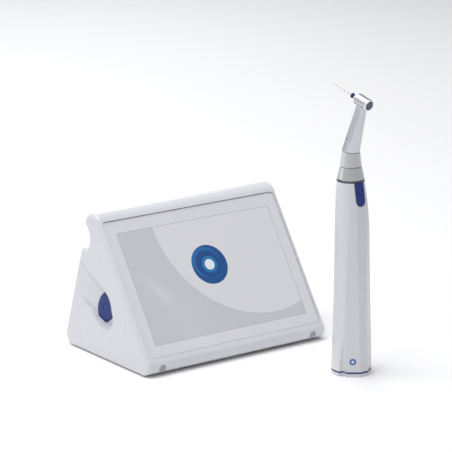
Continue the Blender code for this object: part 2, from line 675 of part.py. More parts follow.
def nose_plug_frame(side):
    """Frame on the console's nose whose local Z points out of the skin."""
    x = CONSOLE_WIDTH / 2 - PLUG_INSET
    return empty("plug_frame_" + side,
                 (-x if side == "left" else x,
                  NOSE_CENTRE[0] + NOSE_RADIUS * math.cos(PLUG_ANGLE),
                  NOSE_CENTRE[1] + NOSE_RADIUS * math.sin(PLUG_ANGLE)),
                 (PLUG_ANGLE - math.pi / 2, 0, 0), CONSOLE)


def make_housing():
    """The one-piece hood with its cradle, scoop, screen recess, posts and bosses."""
    stations = []
    for k in range(SIDE_STEPS + 1):
        angle = math.pi / 2 * (1 - k / SIDE_STEPS)
        stations.append((-CONSOLE_WIDTH / 2 + SIDE_ROUNDING * (1 - math.sin(angle)),
                         SIDE_ROUNDING * (1 - math.cos(angle))))
    stations += [(-x, inset) for x, inset in reversed(stations)]
    rings = [[(x, y, z) for y, z in console_outline(inset, inset, False)] for x, inset in stations]
    housing = loft("console_housing", rings, CONSOLE, WHITE)

    cavity = loft("cavity", [[(x, y, z) for y, z in console_outline(WALL, FRONT_WALL, True)]
                             for x in (-INNER_HALF_WIDTH, INNER_HALF_WIDTH)], CONSOLE)
    cut(cavity, scoop_solid("scoop_pocket", WALL, -WALL, SCOOP_MOUTH))
    for i, (x, y) in enumerate(POST_PLACES):
        cut(cavity, rod(f"post_{i}", POST_RADIUS, BASE_THICKNESS + GAP, POST_HEIGHT, CONSOLE, centre=(x, y)))
    for i, (x, y) in enumerate(BOSS_PLACES):
        cut(cavity, rod(f"boss_{i}", BRACKET_BOSS_RADIUS, BRACKET_TOP + GAP, JOIN, SCREEN, centre=(x, y),
                        sides=16))
    for i, (x, y) in enumerate(BUTTON_POSTS):
        cut(cavity, rod(f"button_post_{i}", BUTTON_POST_RADIUS, BUTTON_BOARD_TOP + GAP, JOIN, SCOOP,
                        centre=(x, y), sides=16))
    recess = rounded_rectangle(GLASS_WIDTH + 2 * GAP, GLASS_HEIGHT + 2 * GAP, GLASS_CORNER + GAP)
    cut(housing, flat_solid("glass_recess", recess, PANEL_TOP, OVERSHOOT, SCREEN))
    window = rounded_rectangle(PANEL_WIDTH + 2 * GAP, PANEL_HEIGHT + 2 * GAP, PANEL_CORNER + GAP, 2)
    cut(housing, flat_solid("panel_window", window, -FRONT_WALL - OVERSHOOT, PANEL_TOP + OVERSHOOT, SCREEN))
    cut(housing, cavity, scoop_solid("scoop_cutter", 0.0, 0.0, SCOOP_MOUTH))
    cut(housing, flat_solid("button_hole", button_outline(GAP), -WALL - OVERSHOOT, OVERSHOOT, SCOOP))
    for i, (x, y) in enumerate(POST_PLACES):
        cut(housing, rod(f"post_hole_{i}", SCREW_SHANK + GAP, 0, SCREW_LENGTH + GAP, CONSOLE,
                         centre=(x, y), sides=16))
    for i, (x, y) in enumerate(BOSS_PLACES):
        cut(housing, rod(f"boss_hole_{i}", BRACKET_SCREW_SHANK + GAP, BRACKET_TOP - OVERSHOOT,
                         BRACKET_TOP + BRACKET_SCREW_HOLE, SCREEN, centre=(x, y), sides=12))
    for side in ("left", "right"):
        cut(housing, rod("plug_hole_" + side, PLUG_RADIUS + GAP, -PLUG_DEPTH - GAP, OVERSHOOT,
                         nose_plug_frame(side)))
    cut(housing, rod("inlet_hole", INLET_RADIUS + GAP, -INLET_HOLE_DEPTH, OVERSHOOT, INLET))


INLET_Y = (REAR_PLANE - INLET_HEIGHT * REAR_NORMAL[1]) / REAR_NORMAL[0]
INLET = empty("inlet_frame", (INLET_SIDE, INLET_Y, INLET_HEIGHT), (-REAR_SLOPE, 0, 0), CONSOLE)


def make_display():
    """Cover glass, display panel, its bracket and the bracket's screws."""
    glass = rounded_rectangle(GLASS_WIDTH, GLASS_HEIGHT, GLASS_CORNER)
    flat_solid("cover_glass", glass, -GLASS_SUNK - GLASS_THICKNESS, -GLASS_SUNK, SCREEN, GLASS)
    panel = rounded_rectangle(PANEL_WIDTH, PANEL_HEIGHT, PANEL_CORNER, 2)
    flat_solid("display_panel", panel, PANEL_BACK, PANEL_TOP, SCREEN, BLACK)
    width = 2 * (INNER_HALF_WIDTH - GAP)
    height = PANEL_HEIGHT - BRACKET_MARGIN
    bracket = flat_solid("display_bracket", rounded_rectangle(width, height, GLASS_CORNER, 2),
                         BRACKET_TOP - BRACKET_THICKNESS, BRACKET_TOP, SCREEN, STEEL)
    opening = rounded_rectangle(width - 2 * BRACKET_RIM, height - 2 * BRACKET_RIM, GLASS_CORNER, 2)
    cut(bracket, flat_solid("bracket_opening", opening, BRACKET_TOP - BRACKET_THICKNESS - OVERSHOOT,
                            BRACKET_TOP + OVERSHOOT, SCREEN))
    below = BRACKET_TOP - BRACKET_THICKNESS
    for i, (x, y) in enumerate(BOSS_PLACES):
        cut(bracket, rod(f"bracket_hole_{i}", BRACKET_SCREW_SHANK + GAP, below - OVERSHOOT,
                         BRACKET_TOP + OVERSHOOT, SCREEN, centre=(x, y), sides=12))
        screw_piece(f"bracket_screw_{i + 1}", BRACKET_SCREW_SHANK,
                    (BRACKET_SCREW_HEAD, BRACKET_SCREW_HEAD_HEIGHT), BRACKET_SCREW_LENGTH,
                    below - BRACKET_SCREW_HEAD_HEIGHT - GAP, SCREEN, STEEL, (x, y))


def make_power_button():
    """The oval button in the scoop, its switch and the small board behind it."""
    button = flat_solid("power_button", button_outline(0), -WALL - GAP - JOIN, BUTTON_PROUD, SCOOP, BLUE)
    flange = flat_solid("button_flange", button_outline(BUTTON_FLANGE), BUTTON_BACK, -WALL - GAP, SCOOP)
    stem = rod("button_stem", BUTTON_STEM, BUTTON_BACK - BUTTON_STEM, BUTTON_BACK + JOIN, SCOOP,
               centre=BUTTON_CENTRE)
    join(button, flange, stem)
    x, y = BUTTON_CENTRE
    half = SWITCH_SIZE / 2
    box("power_switch", (x - half, y - half, BUTTON_BOARD_TOP + GAP),
        (x + half, y + half, SWITCH_TOP), SCOOP, BLACK)
    reach = BUTTON_POST_REACH + BUTTON_POST_CLEAR
    half_board = BUTTON_BOARD_WIDTH / 2
    box("button_board", (x - half_board, y - reach, BUTTON_BOARD_TOP - BUTTON_BOARD_THICKNESS),
        (x + half_board, y + reach, BUTTON_BOARD_TOP), SCOOP, BOARD_GREEN)


def make_board(middle):
    """Main circuit board with its chips."""
    width, depth, thickness = BOARD
    top = BOARD_HEIGHT + thickness
    board = box("main_board", (-width / 2, middle - depth / 2, BOARD_HEIGHT),
                (width / 2, middle + depth / 2, top), CONSOLE, BOARD_GREEN)
    for i, (x, y, size_x, size_y, height) in enumerate(CHIPS):
        join(board, box(f"chip_{i}", ((x - size_x / 2) * MM, middle + (y - size_y / 2) * MM, top - JOIN),
                        ((x + size_x / 2) * MM, middle + (y + size_y / 2) * MM, top + height * MM), CONSOLE))


def make_base():
    """Base plate with board posts, feet, screws and speaker."""
    half_width = INNER_HALF_WIDTH - BASE_FIT
    front, rear = CAVITY_FRONT_Y + BASE_FIT, CAVITY_REAR_Y - BASE_FIT
    plate = box("base_plate", (-half_width, front, 0), (half_width, rear, BASE_THICKNESS), CONSOLE, WHITE)
    middle = (front + rear) / 2
    make_board(middle)
    for i in range(4):
        x = (BOARD[0] / 2 - BOARD_POST_INSET) * (-1 if i % 2 else 1)
        y = middle + (BOARD[1] / 2 - BOARD_POST_INSET) * (-1 if i > 1 else 1)
        join(plate, rod(f"board_post_{i}", BOARD_POST_RADIUS, BASE_THICKNESS - JOIN, BOARD_HEIGHT - GAP,
                        CONSOLE,
                        centre=(x, y), sides=16))
    for i, (x, y) in enumerate(POST_PLACES):
        cut(plate, rod(f"plate_hole_{i}", SCREW_SHANK + GAP, -OVERSHOOT, BASE_THICKNESS + OVERSHOOT, CONSOLE,
                       centre=(x, y), sides=16),
            rod(f"counterbore_{i}", SCREW_HEAD + GAP, -OVERSHOOT, SCREW_HEAD_HEIGHT, CONSOLE, centre=(x, y)))
        screw_piece(f"base_screw_{i + 1}", SCREW_SHANK, (SCREW_HEAD, SCREW_HEAD_HEIGHT - GAP),
                    SCREW_LENGTH, 0,
                    CONSOLE, DARK, (x, y))
    foot_x, foot_y = half_width - FOOT_INSET[0], FOOT_INSET[1]
    for i in range(4):
        x = foot_x * (-1 if i % 2 else 1)
        y = rear - foot_y if i > 1 else front + foot_y
        cut(plate, rod(f"foot_recess_{i}", FOOT_RADIUS + GAP, -OVERSHOOT, FOOT_SUNK, CONSOLE, centre=(x, y)))
        rod(f"foot_{i + 1}", FOOT_RADIUS, -FOOT_LIFT, FOOT_SUNK - GAP, CONSOLE, RUBBER, centre=(x, y))
    low = BASE_THICKNESS + GAP
    high = low + SPEAKER_HEIGHT
    turned("speaker", [(0, low + SPEAKER_HEIGHT / 2), (SPEAKER_RADIUS / 2, low + SPEAKER_HEIGHT / 2),
                       (SPEAKER_RADIUS * SPEAKER_RIM, high), (SPEAKER_RADIUS, high), (SPEAKER_RADIUS, low),
                       (0, low)], CONSOLE, BLACK, centre=(SPEAKER_SIDE - half_width, middle))


def make_plugs_and_inlet():
    """Screw plugs in the nose, the power inlet in the back and the charging coil under the cradle."""
    for side in ("left", "right"):
        rod("front_plug_" + side, PLUG_RADIUS, -PLUG_DEPTH, 0, nose_plug_frame(side), GREY)
    inner = -WALL - 2 * GAP
    shoulder = INLET_RADIUS * INLET_SHOULDER
    turned("power_inlet", [(0, -GAP), (INLET_PIN, -GAP), (INLET_PIN, -INLET_SOCKET_DEPTH),
                           (INLET_SOCKET, -INLET_SOCKET_DEPTH), (INLET_SOCKET, 0), (INLET_RADIUS, 0),
                           (INLET_RADIUS, inner), (shoulder, inner), (shoulder, -INLET_DEPTH),
                           (0, -INLET_DEPTH)], INLET, BLACK)
    coil_top = SHELF_HEIGHT - WALL - GAP
    centre_y = LIP_CENTRE[0] - COIL_RADIUS
    outline = rounded_rectangle(COIL_LENGTH, 2 * COIL_RADIUS, COIL_RADIUS - FACE_STEP, 6)
    coil = flat_solid("charging_coil", outline, coil_top - COIL_HEIGHT, coil_top, CONSOLE, COPPER,
                      Matrix.Translation((0, centre_y, 0)))
    hole = rounded_rectangle(COIL_LENGTH - 2 * COIL_RADIUS, COIL_HOLE_WIDTH, COIL_HOLE_WIDTH / 3, 3)
    cut(coil, flat_solid("coil_hole", hole, coil_top - COIL_HEIGHT - OVERSHOOT, coil_top + OVERSHOOT, CONSOLE,
                         None, Matrix.Translation((0, centre_y, 0))))


# Handpiece -----------------------------------------------------------------------------------------

NOSE = empty("nose_frame", (HANDPIECE_X, NOSE_AXIS_Y, 0))
BODY_STATIONS = ((0.0, BASE_RADIUS, BASE_OFFSET),
                 (WAIST_HEIGHT, WAIST_RADIUS, WAIST_OFFSET),
                 (SHOULDER_HEIGHT, SHOULDER_RADIUS, SHOULDER_OFFSET),
                 (SLEEVE_TOP, NOSE_RING_RADIUS, 0.0))


def body_section(height):
    """Radius and forward offset of the handpiece body at a height."""
    for (low, low_radius, low_offset), (high, high_radius, high_offset) in zip(BODY_STATIONS,
                                                                               BODY_STATIONS[1:]):
        if height <= high:
            share = max(0.0, (height - low) / (high - low))
            swell = BODY_SWELL * math.sin(math.pi * share) if low == 0.0 else 0.0
            return (low_radius + (high_radius - low_radius) * share - swell,
                    low_offset + (high_offset - low_offset) * share)
    return NOSE_RING_RADIUS, 0.0


def body_reach(height, radius, angle):
    """Distance of the body's skin from its middle in a direction, with its three flats in front."""
    share = min(1.0, max(0.0, height) / SHOULDER_HEIGHT)
    front = FRONT_FLAT[0] + (FRONT_FLAT[1] - FRONT_FLAT[0]) * share
    side = SIDE_FLAT * (1 - share)
    reach = radius
    for turn, depth in ((0.0, front), (-SIDE_FLAT_TURN, side), (SIDE_FLAT_TURN, side)):
        lean = math.cos(angle + math.pi / 2 - turn)
        if lean > 0:
            reach = min(reach, (radius - depth) / lean)
    return reach


def body_ring(height, grow):
    """Ring of points round the body at a height, let out by a width."""
    radius, offset = body_section(height)
    points = []
    for i in range(BODY_SIDES):
        angle = 2 * math.pi * i / BODY_SIDES
        reach = body_reach(height, radius + grow, angle)
        points.append((reach * math.cos(angle), reach * math.sin(angle) - offset, height))
    return points


def body_solid(name, grow, low, high, finish=None):
    """Solid of the handpiece body between two heights."""
    levels = [low, *(height for height in BODY_LEVELS if low < height < high), high]
    return loft(name, [body_ring(height, grow) for height in levels], NOSE, finish)


def tongue_outline(grow):
    """Outline of the finger button seen from the front, as (x, height)."""
    half = FINGER_WIDTH / 2 + grow
    low = SLEEVE_TOP - FINGER_LENGTH + FINGER_WIDTH / 2
    top = SLEEVE_TOP + 2 * OVERSHOOT
    return [(half, top), (-half, top), *arc((0, low), half, math.pi, 2 * math.pi, 12)]


UPRIGHT = Matrix.Rotation(math.pi / 2, 4, "X")
BUTTON_MIDDLE = SLEEVE_TOP - FINGER_LENGTH + FINGER_MIDDLE


def flutes(name, grow):
    """Two tapered rods that hollow the foot's sides, let out by a width."""
    rods = []
    for i, angle in enumerate(FLUTE_ANGLES):
        centre = (BASE_RADIUS * math.cos(angle), BASE_RADIUS * math.sin(angle) - BASE_OFFSET)
        rods.append(rod(f"{name}_{i}", FLUTE_RADIUS + grow, -OVERSHOOT, FLUTE_HEIGHT, NOSE, centre=centre,
                        sides=16, top_radius=FLUTE_TIP_RADIUS + grow))
    return rods


def foot_flats(name, inset):
    """Block that carries the flats of the foot on its front and stands clear of its round."""
    outline = []
    for i in range(BODY_SIDES):
        angle = 2 * math.pi * i / BODY_SIDES
        reach = body_reach(0.0, BASE_RADIUS, angle) - inset
        if reach > BASE_RADIUS - inset - FACE_STEP:
            reach += OVERSHOOT
        outline.append((reach * math.cos(angle), reach * math.sin(angle) - BASE_OFFSET))
    return flat_solid(name, outline, -OVERSHOOT, CAP_HEIGHT + SPIGOT_HEIGHT + OVERSHOOT, NOSE)


def make_body():
    """Sleeve, seal, base cap and charge receiver of the handpiece."""
    sleeve = body_solid("body_sleeve", 0.0, SLEEVE_BOTTOM, SLEEVE_TOP, WHITE)
    bore = body_solid("sleeve_bore", -SLEEVE_WALL, SLEEVE_BOTTOM - OVERSHOOT, SLEEVE_TOP + OVERSHOOT)
    cut(bore, *flutes("flute_wall", FLUTE_WALL))
    cut(sleeve, bore, flat_solid("finger_slot", tongue_outline(GAP), *FINGER_CUT, NOSE, None, UPRIGHT))
    grooves = flutes("flute", 0.0)
    cut(sleeve, *grooves)
    inner = SPIGOT_RADIUS - SPIGOT_WALL
    top = CAP_HEIGHT + SPIGOT_HEIGHT
    cap = turned("base_cap", [(0, CAP_HEIGHT), (inner, CAP_HEIGHT), (inner, top), (SPIGOT_RADIUS, top),
                              (SPIGOT_RADIUS, CAP_HEIGHT), (BASE_RADIUS, CAP_HEIGHT),
                              (BASE_RADIUS, CAP_ROUNDING), (BASE_RADIUS - CAP_ROUNDING, 0), (0, 0)],
                 NOSE, WHITE, steps=BODY_SIDES, centre=(0, -BASE_OFFSET))
    boolean(cap, foot_flats("cap_flats", 0.0), "INTERSECT")
    cut(cap, *grooves)
    low = CAP_HEIGHT + GAP
    seal = tube("base_seal", BASE_RADIUS - SEAL_INSET, SPIGOT_RADIUS + GAP, low, low + SEAL_HEIGHT, NOSE,
                BLUE, steps=BODY_SIDES, centre=(0, -BASE_OFFSET))
    boolean(seal, foot_flats("seal_flats", SEAL_INSET), "INTERSECT")
    cut(seal, *grooves)
    tube("charge_receiver", RECEIVER_RADIUS, RECEIVER_RADIUS / 2, low, low + RECEIVER_HEIGHT, NOSE, COPPER,
         centre=(0, -BASE_OFFSET))


FRAME_LOW = CAP_HEIGHT + SPIGOT_HEIGHT + GAP
CELL_LOW = FRAME_LOW + FRAME_DISC + GAP
CELL_TOP = CELL_LOW + CELL_HEIGHT
MOTOR_TOP = SLEEVE_TOP - NOSE_FLANGE_HEIGHT - GAP
MOTOR_LOW = MOTOR_TOP - MOTOR_LENGTH
BELL_LOW = MOTOR_LOW - BELL_DROP


def make_inside():
    """Battery, inner frame, circuit board and switch of the handpiece."""
    rod("battery_cell", CELL_RADIUS, CELL_LOW, CELL_TOP, NOSE, BLUE, centre=(0, -CELL_OFFSET))
    frame = rod("inner_frame", FRAME_RADIUS, FRAME_LOW, FRAME_LOW + FRAME_DISC, NOSE, BLACK,
                centre=(0, -BASE_OFFSET))
    cradle_top = BELL_LOW - GAP
    join(frame, box("spine", (-SPINE[0] / 2, SPINE_BACK, FRAME_LOW + JOIN),
                    (SPINE[0] / 2, SPINE_BACK + SPINE[1], cradle_top - JOIN), NOSE),
         rod("cell_stop", CELL_RADIUS + GAP, CELL_TOP + GAP, CELL_TOP + GAP + FRAME_DISC, NOSE,
             centre=(0, -CELL_OFFSET + JOIN)),
         rod("motor_seat", MOTOR_RADIUS, cradle_top - FRAME_DISC, cradle_top, NOSE))
    width, thickness, height = HAND_BOARD
    low = SHOULDER_HEIGHT - height
    box("handpiece_board", (-width / 2, -HAND_BOARD_BACK - thickness, low),
        (width / 2, -HAND_BOARD_BACK, SHOULDER_HEIGHT), NOSE, BOARD_GREEN)
    half_arm = SPINE[0] / 4
    join(frame, box("board_arm", (-half_arm, -HAND_BOARD_BACK + GAP, cradle_top - FRAME_DISC),
                    (half_arm, 0, cradle_top), NOSE))


FINGER_SWITCH_BACK = HAND_BOARD_BACK + HAND_BOARD[1] + GAP
FINGER_SWITCH_FRONT = FINGER_SWITCH_BACK + FINGER_SWITCH[1]


def make_finger_button():
    """The blue finger button, shaped by the sleeve's own skin, with its switch."""
    button = flat_solid("finger_button", tongue_outline(0), *FINGER_CUT, NOSE, BLUE, UPRIGHT)
    boolean(button, body_solid("button_skin", FINGER_PROUD, SLEEVE_TOP - FINGER_LENGTH - OVERSHOOT,
                               SLEEVE_TOP),
            "INTERSECT")
    cut(button, body_solid("button_core", FINGER_PROUD - FINGER_THICKNESS,
                           SLEEVE_TOP - FINGER_LENGTH - 2 * OVERSHOOT, SLEEVE_TOP + OVERSHOOT))
    radius, offset = body_section(BUTTON_MIDDLE)
    skin = radius + offset + FINGER_PROUD - FINGER_THICKNESS
    back = FINGER_SWITCH_FRONT + GAP + FINGER_TRAVEL
    stem = flat_solid("finger_stem", arc((0, BUTTON_MIDDLE), FINGER_STEM, 0, 2 * math.pi * 15 / 16, 15),
                      back, skin + JOIN, NOSE, None, UPRIGHT)
    join(button, stem)
    half_width, _, half_height = FINGER_SWITCH
    box("finger_switch", (-half_width, -FINGER_SWITCH_FRONT, BUTTON_MIDDLE - half_height),
        (half_width, -FINGER_SWITCH_BACK, BUTTON_MIDDLE + half_height), NOSE, BLACK)


DOG_LOW = NOSE_TOP - DOG_SUNK


def make_motor():
    """Motor can, end bell, bearings and the rotor with its toothed dog."""
    inner = MOTOR_RADIUS - MOTOR_WALL
    collar = BEARING_RADIUS + GAP
    roof = MOTOR_TOP - MOTOR_ROOF
    pocket = roof - BEARING_HEIGHT
    hole = SHAFT_RADIUS + 2 * GAP
    turned("motor_can", [(hole, MOTOR_TOP), (MOTOR_RADIUS, MOTOR_TOP), (MOTOR_RADIUS, MOTOR_LOW),
                         (inner, MOTOR_LOW), (inner, pocket), (collar, pocket), (collar, roof), (hole, roof)],
           NOSE, STEEL, ring=True)
    tube("motor_bearing_front", BEARING_RADIUS, SHAFT_RADIUS + GAP, pocket, roof - GAP, NOSE, BRASS,
         steps=MACHINED_SIDES)
    bell_top = BELL_LOW + BELL_HEIGHT
    bell_floor, bell_rim = BELL_LOW + BELL_FLOOR, BELL_LOW + BELL_RIM
    turned("motor_end_bell", [(0, bell_floor), (collar, bell_floor), (collar, bell_top), (inner - GAP,
                                                                                          bell_top),
                              (inner - GAP, bell_rim), (MOTOR_RADIUS, bell_rim), (MOTOR_RADIUS, BELL_LOW),
                              (0, BELL_LOW)], NOSE, BLACK)
    seat = bell_floor + GAP
    tube("motor_bearing_rear", BEARING_RADIUS, SHAFT_RADIUS + GAP, seat, seat + BEARING_HEIGHT, NOSE, BRASS,
         steps=MACHINED_SIDES)
    magnet = inner - MAGNET_CLEAR
    magnet_low, magnet_top = bell_top + 2 * GAP, pocket - 2 * GAP
    rotor = turned("motor_rotor", [(0, DOG_LOW + JOIN), (SHAFT_RADIUS, DOG_LOW + JOIN), (SHAFT_RADIUS,
                                                                                         magnet_top),
                                   (magnet, magnet_top), (magnet, magnet_low), (SHAFT_RADIUS, magnet_low),
                                   (SHAFT_RADIUS, seat), (0, seat)], NOSE, STEEL, steps=MACHINED_SIDES)
    join(rotor, flat_solid("dog", gear_outline(DOG_TEETH, DOG_ROOT, DOG_TIP, DOG_FLANK), DOG_LOW,
                           DOG_LOW + DOG_LENGTH, NOSE))


def make_nose():
    """The tube that the contra-angle plugs onto, its seal and the coupling ring."""
    base = SLEEVE_TOP - NOSE_FLANGE_HEIGHT
    groove = O_RING_SECTION + GAP
    floor = NOSE_RADIUS_OUT - 2 * O_RING_SECTION
    turned("nose_tube", [(NOSE_BORE, NOSE_TOP), (NOSE_RADIUS_OUT - NOSE_CHAMFER, NOSE_TOP),
                         (NOSE_RADIUS_OUT, NOSE_TOP - NOSE_CHAMFER), (NOSE_RADIUS_OUT,
                                                                      O_RING_HEIGHT + groove),
                         (floor, O_RING_HEIGHT + groove), (floor, O_RING_HEIGHT - groove),
                         (NOSE_RADIUS_OUT, O_RING_HEIGHT - groove), (NOSE_RADIUS_OUT, SLEEVE_TOP),
                         (NOSE_FLANGE_RADIUS, SLEEVE_TOP), (NOSE_FLANGE_RADIUS, base), (NOSE_BORE, base)],
           NOSE, STEEL, ring=True)
    section = [(floor + GAP + O_RING_SECTION * (1 + math.sin(a)),
                O_RING_HEIGHT + O_RING_SECTION * math.cos(a))
               for a in (2 * math.pi * i / O_RING_SIDES for i in range(O_RING_SIDES))]
    turned("nose_o_ring", section, NOSE, RUBBER, ring=True)
    low = SLEEVE_TOP + GAP
    tube("coupling_ring", NOSE_RING_RADIUS - FIT_STEP, NOSE_RADIUS_OUT + GAP, low, low + RING_HEIGHT, NOSE,
         DARK, steps=CONTRA_SIDES)


# Contra-angle --------------------------------------------------------------------------------------

CONTRA = empty("contra_frame", (0, 0, 0), (0, 0, SWIVEL_REST), NOSE)
KNEE = empty("knee_frame", (0, 0, BEND_HEIGHT), (BEND_ANGLE / 2, 0, 0), CONTRA)
NECK = empty("neck_frame", (0, 0, BEND_HEIGHT), (BEND_ANGLE, 0, 0), CONTRA)
HEAD = empty("head_frame",
             (0, -NECK_LENGTH * math.sin(BEND_ANGLE), BEND_HEIGHT + NECK_LENGTH * math.cos(BEND_ANGLE)),
             (FILE_RISE - math.pi / 2, 0, 0), CONTRA)
CONTRA_LOW = SLEEVE_TOP + 2 * GAP + RING_HEIGHT
CONTRA_BASE_RADIUS = NOSE_RING_RADIUS - 2 * FIT_STEP
SEAT_LOW = NOSE_TOP + SHAFT_SEAT_CLEAR
SEAT_TOP = SEAT_LOW + SHAFT_SEAT_HEIGHT
BIG = 20 * MM  # half size of the cutters that mitre the bend


def make_sleeves():
    """Lower sleeve and collar, split at the groove and mitred at the bend."""
    turned("contra_base_sleeve", [(CONTRA_BORE, SLEEVE_SPLIT), (SPLIT_RADIUS, SLEEVE_SPLIT),
                                  (CONTRA_BASE_RADIUS, CONTRA_LOW + CONTRA_CHAMFER),
                                  (CONTRA_BASE_RADIUS - CONTRA_CHAMFER, CONTRA_LOW),
                                  (CONTRA_BORE, CONTRA_LOW)], CONTRA, STEEL, ring=True, steps=CONTRA_SIDES)
    low = SLEEVE_SPLIT + GAP
    high = BEND_HEIGHT + MITRE_OVERRUN
    bend_taper = (BEND_RADIUS - SPLIT_RADIUS) / (BEND_HEIGHT - low)
    high_radius = BEND_RADIUS + bend_taper * (high - BEND_HEIGHT)
    collar = turned("contra_collar", [(KNEE_BORE, high), (high_radius, high), (SPLIT_RADIUS, low),
                                      (CONTRA_BORE, low), (CONTRA_BORE, SEAT_LOW), (BEARING_SEAT_RADIUS,
                                                                                    SEAT_LOW),
                                      (BEARING_SEAT_RADIUS, SEAT_TOP), (KNEE_BORE, SEAT_TOP)],
                    CONTRA, STEEL, ring=True, steps=CONTRA_SIDES)
    cut(collar, box("collar_mitre", (-BIG, -BIG, -GAP / 2), (BIG, BIG, BIG), KNEE))


def make_neck():
    """The leaning neck with the head's barrel on its end."""
    taper = (NECK_TOP_RADIUS - BEND_RADIUS) / NECK_LENGTH
    low = -MITRE_OVERRUN
    high = NECK_LENGTH - JOIN
    neck = turned("contra_neck", [(0, high), (NECK_TOP_RADIUS, high), (BEND_RADIUS + taper * low, low),
                                  (0, low)], NECK, STEEL, steps=CONTRA_SIDES)
    barrel = turned("head_barrel", [(0, HEAD_FRONT), (HEAD_RADIUS - HEAD_CHAMFER, HEAD_FRONT),
                                    (HEAD_RADIUS, HEAD_FRONT - HEAD_CHAMFER), (HEAD_RADIUS, -HEAD_BACK),
                                    (0, -HEAD_BACK)], HEAD, steps=HEAD_SIDES)
    join(neck, barrel)
    cut(neck, box("neck_mitre", (-BIG, -BIG, -BIG), (BIG, BIG, GAP / 2), KNEE))
    lower, half = NECK_FLAT
    outline = [(half, NECK_LENGTH - HEAD_RADIUS), (-half, NECK_LENGTH - HEAD_RADIUS),
               *arc((0, lower + half), half, math.pi, 2 * math.pi, 10)]
    lean = Matrix.Rotation(-math.atan(taper), 4, "X")
    for i, side in enumerate((-1, 1)):
        turn = Matrix.Rotation(side * math.pi / 2, 4, "Z")
        cut(neck, flat_solid(f"neck_flat_{i}", outline, -BIG, NECK_FLAT_DEPTH - BEND_RADIUS, NECK, None,
                             turn @ lean @ UPRIGHT))
    cut(neck, rod("knee_bore", KNEE_BORE, -BIG / 2, KNEE_BORE_DEPTH, NECK),
        rod("shaft_bore", NECK_BORE, 0, NECK_LENGTH, NECK),
        rod("head_bore", HEAD_BORE, -HEAD_BACK - OVERSHOOT, HEAD_FRONT - HEAD_FACE, HEAD,
            sides=HEAD_BORE_SIDES),
        rod("file_hole", SPINDLE_RADIUS + GAP, 0, HEAD_FRONT + OVERSHOOT, HEAD))


def make_shafts():
    """Lower shaft with its bearing, and the upper shaft with its pinion."""
    socket_out = NOSE_BORE - SOCKET_CLEAR
    socket_low, socket_top = DOG_LOW - GAP, DOG_LOW + DOG_LENGTH + DOG_HEADROOM
    cup_out = KNEE_TIP + TOOTH_CLEARANCE + CUP_WALL
    cup_low, cup_top = BEND_HEIGHT - CUP_DEPTH, BEND_HEIGHT + KNEE_REACH
    cup_floor, socket_roof = cup_low - SHAFT_STEP, socket_top + SHAFT_STEP
    shaft = turned("drive_shaft", [(0, cup_top), (cup_out, cup_top), (cup_out, cup_floor),
                                   (LOWER_SHAFT_RADIUS, cup_floor), (LOWER_SHAFT_RADIUS, socket_roof),
                                   (socket_out, socket_roof), (socket_out, socket_low), (0, socket_low)],
                   CONTRA, STEEL, steps=MACHINED_SIDES)
    inner = gear_outline(DOG_TEETH, DOG_TIP + TOOTH_CLEARANCE, DOG_ROOT + TOOTH_CLEARANCE,
                         DOG_FLANK * SOCKET_SHARE, math.pi / DOG_TEETH - SWIVEL_REST)
    cut(shaft, flat_solid("dog_socket", inner, socket_low - OVERSHOOT, socket_top, CONTRA))
    knee = gear_outline(KNEE_TEETH, KNEE_TIP + TOOTH_CLEARANCE, KNEE_ROOT + TOOTH_CLEARANCE, KNEE_SHARE,
                        math.pi / KNEE_TEETH)
    cut(shaft, flat_solid("knee_socket", knee, cup_low, cup_top + OVERSHOOT, CONTRA))
    tube("drive_shaft_bearing", BEARING_SEAT_RADIUS - GAP, LOWER_SHAFT_RADIUS + GAP, SEAT_LOW + GAP,
         SEAT_TOP - GAP, CONTRA, BRASS, steps=MACHINED_SIDES)

    far, near = NECK_LENGTH - PINION_FAR, NECK_LENGTH - PINION_NEAR
    low = -KNEE_THICKNESS / 2
    upper = turned("upper_shaft", [(0, near), (PINION_ROOT, near), (PINION_ROOT, far),
                                   (UPPER_SHAFT_RADIUS, far - SHAFT_STEP), (UPPER_SHAFT_RADIUS, low),
                                   (0, low)], NECK, STEEL, steps=MACHINED_SIDES)
    join(upper, flat_solid("knee_star", gear_outline(KNEE_TEETH, KNEE_ROOT, KNEE_TIP, KNEE_SHARE),
                           low - FACE_STEP, -low, NECK))
    for i in range(PINION_TEETH):
        tooth = box(f"pinion_tooth_{i}", (-TOOTH_WIDTH / 2, 0, far),
                    (TOOTH_WIDTH / 2, PINION_TIP, near - FACE_STEP), NECK)
        tooth.rotation_euler = (0, 0, 2 * math.pi * (i + 0.5) / PINION_TEETH)
        join(upper, tooth)
    middle = NECK_LENGTH / 2
    tube("upper_shaft_bearing", NECK_BORE - GAP, UPPER_SHAFT_RADIUS + GAP, middle,
         middle + NECK_BEARING_HEIGHT, NECK, BRASS, steps=MACHINED_SIDES)


CROWN_TOP = -(PINION_TIP + TOOTH_CLEARANCE)
CROWN_LOW = CROWN_TOP - CROWN_THICKNESS
SPINDLE_LOW = CROWN_LOW - SPINDLE_TAIL


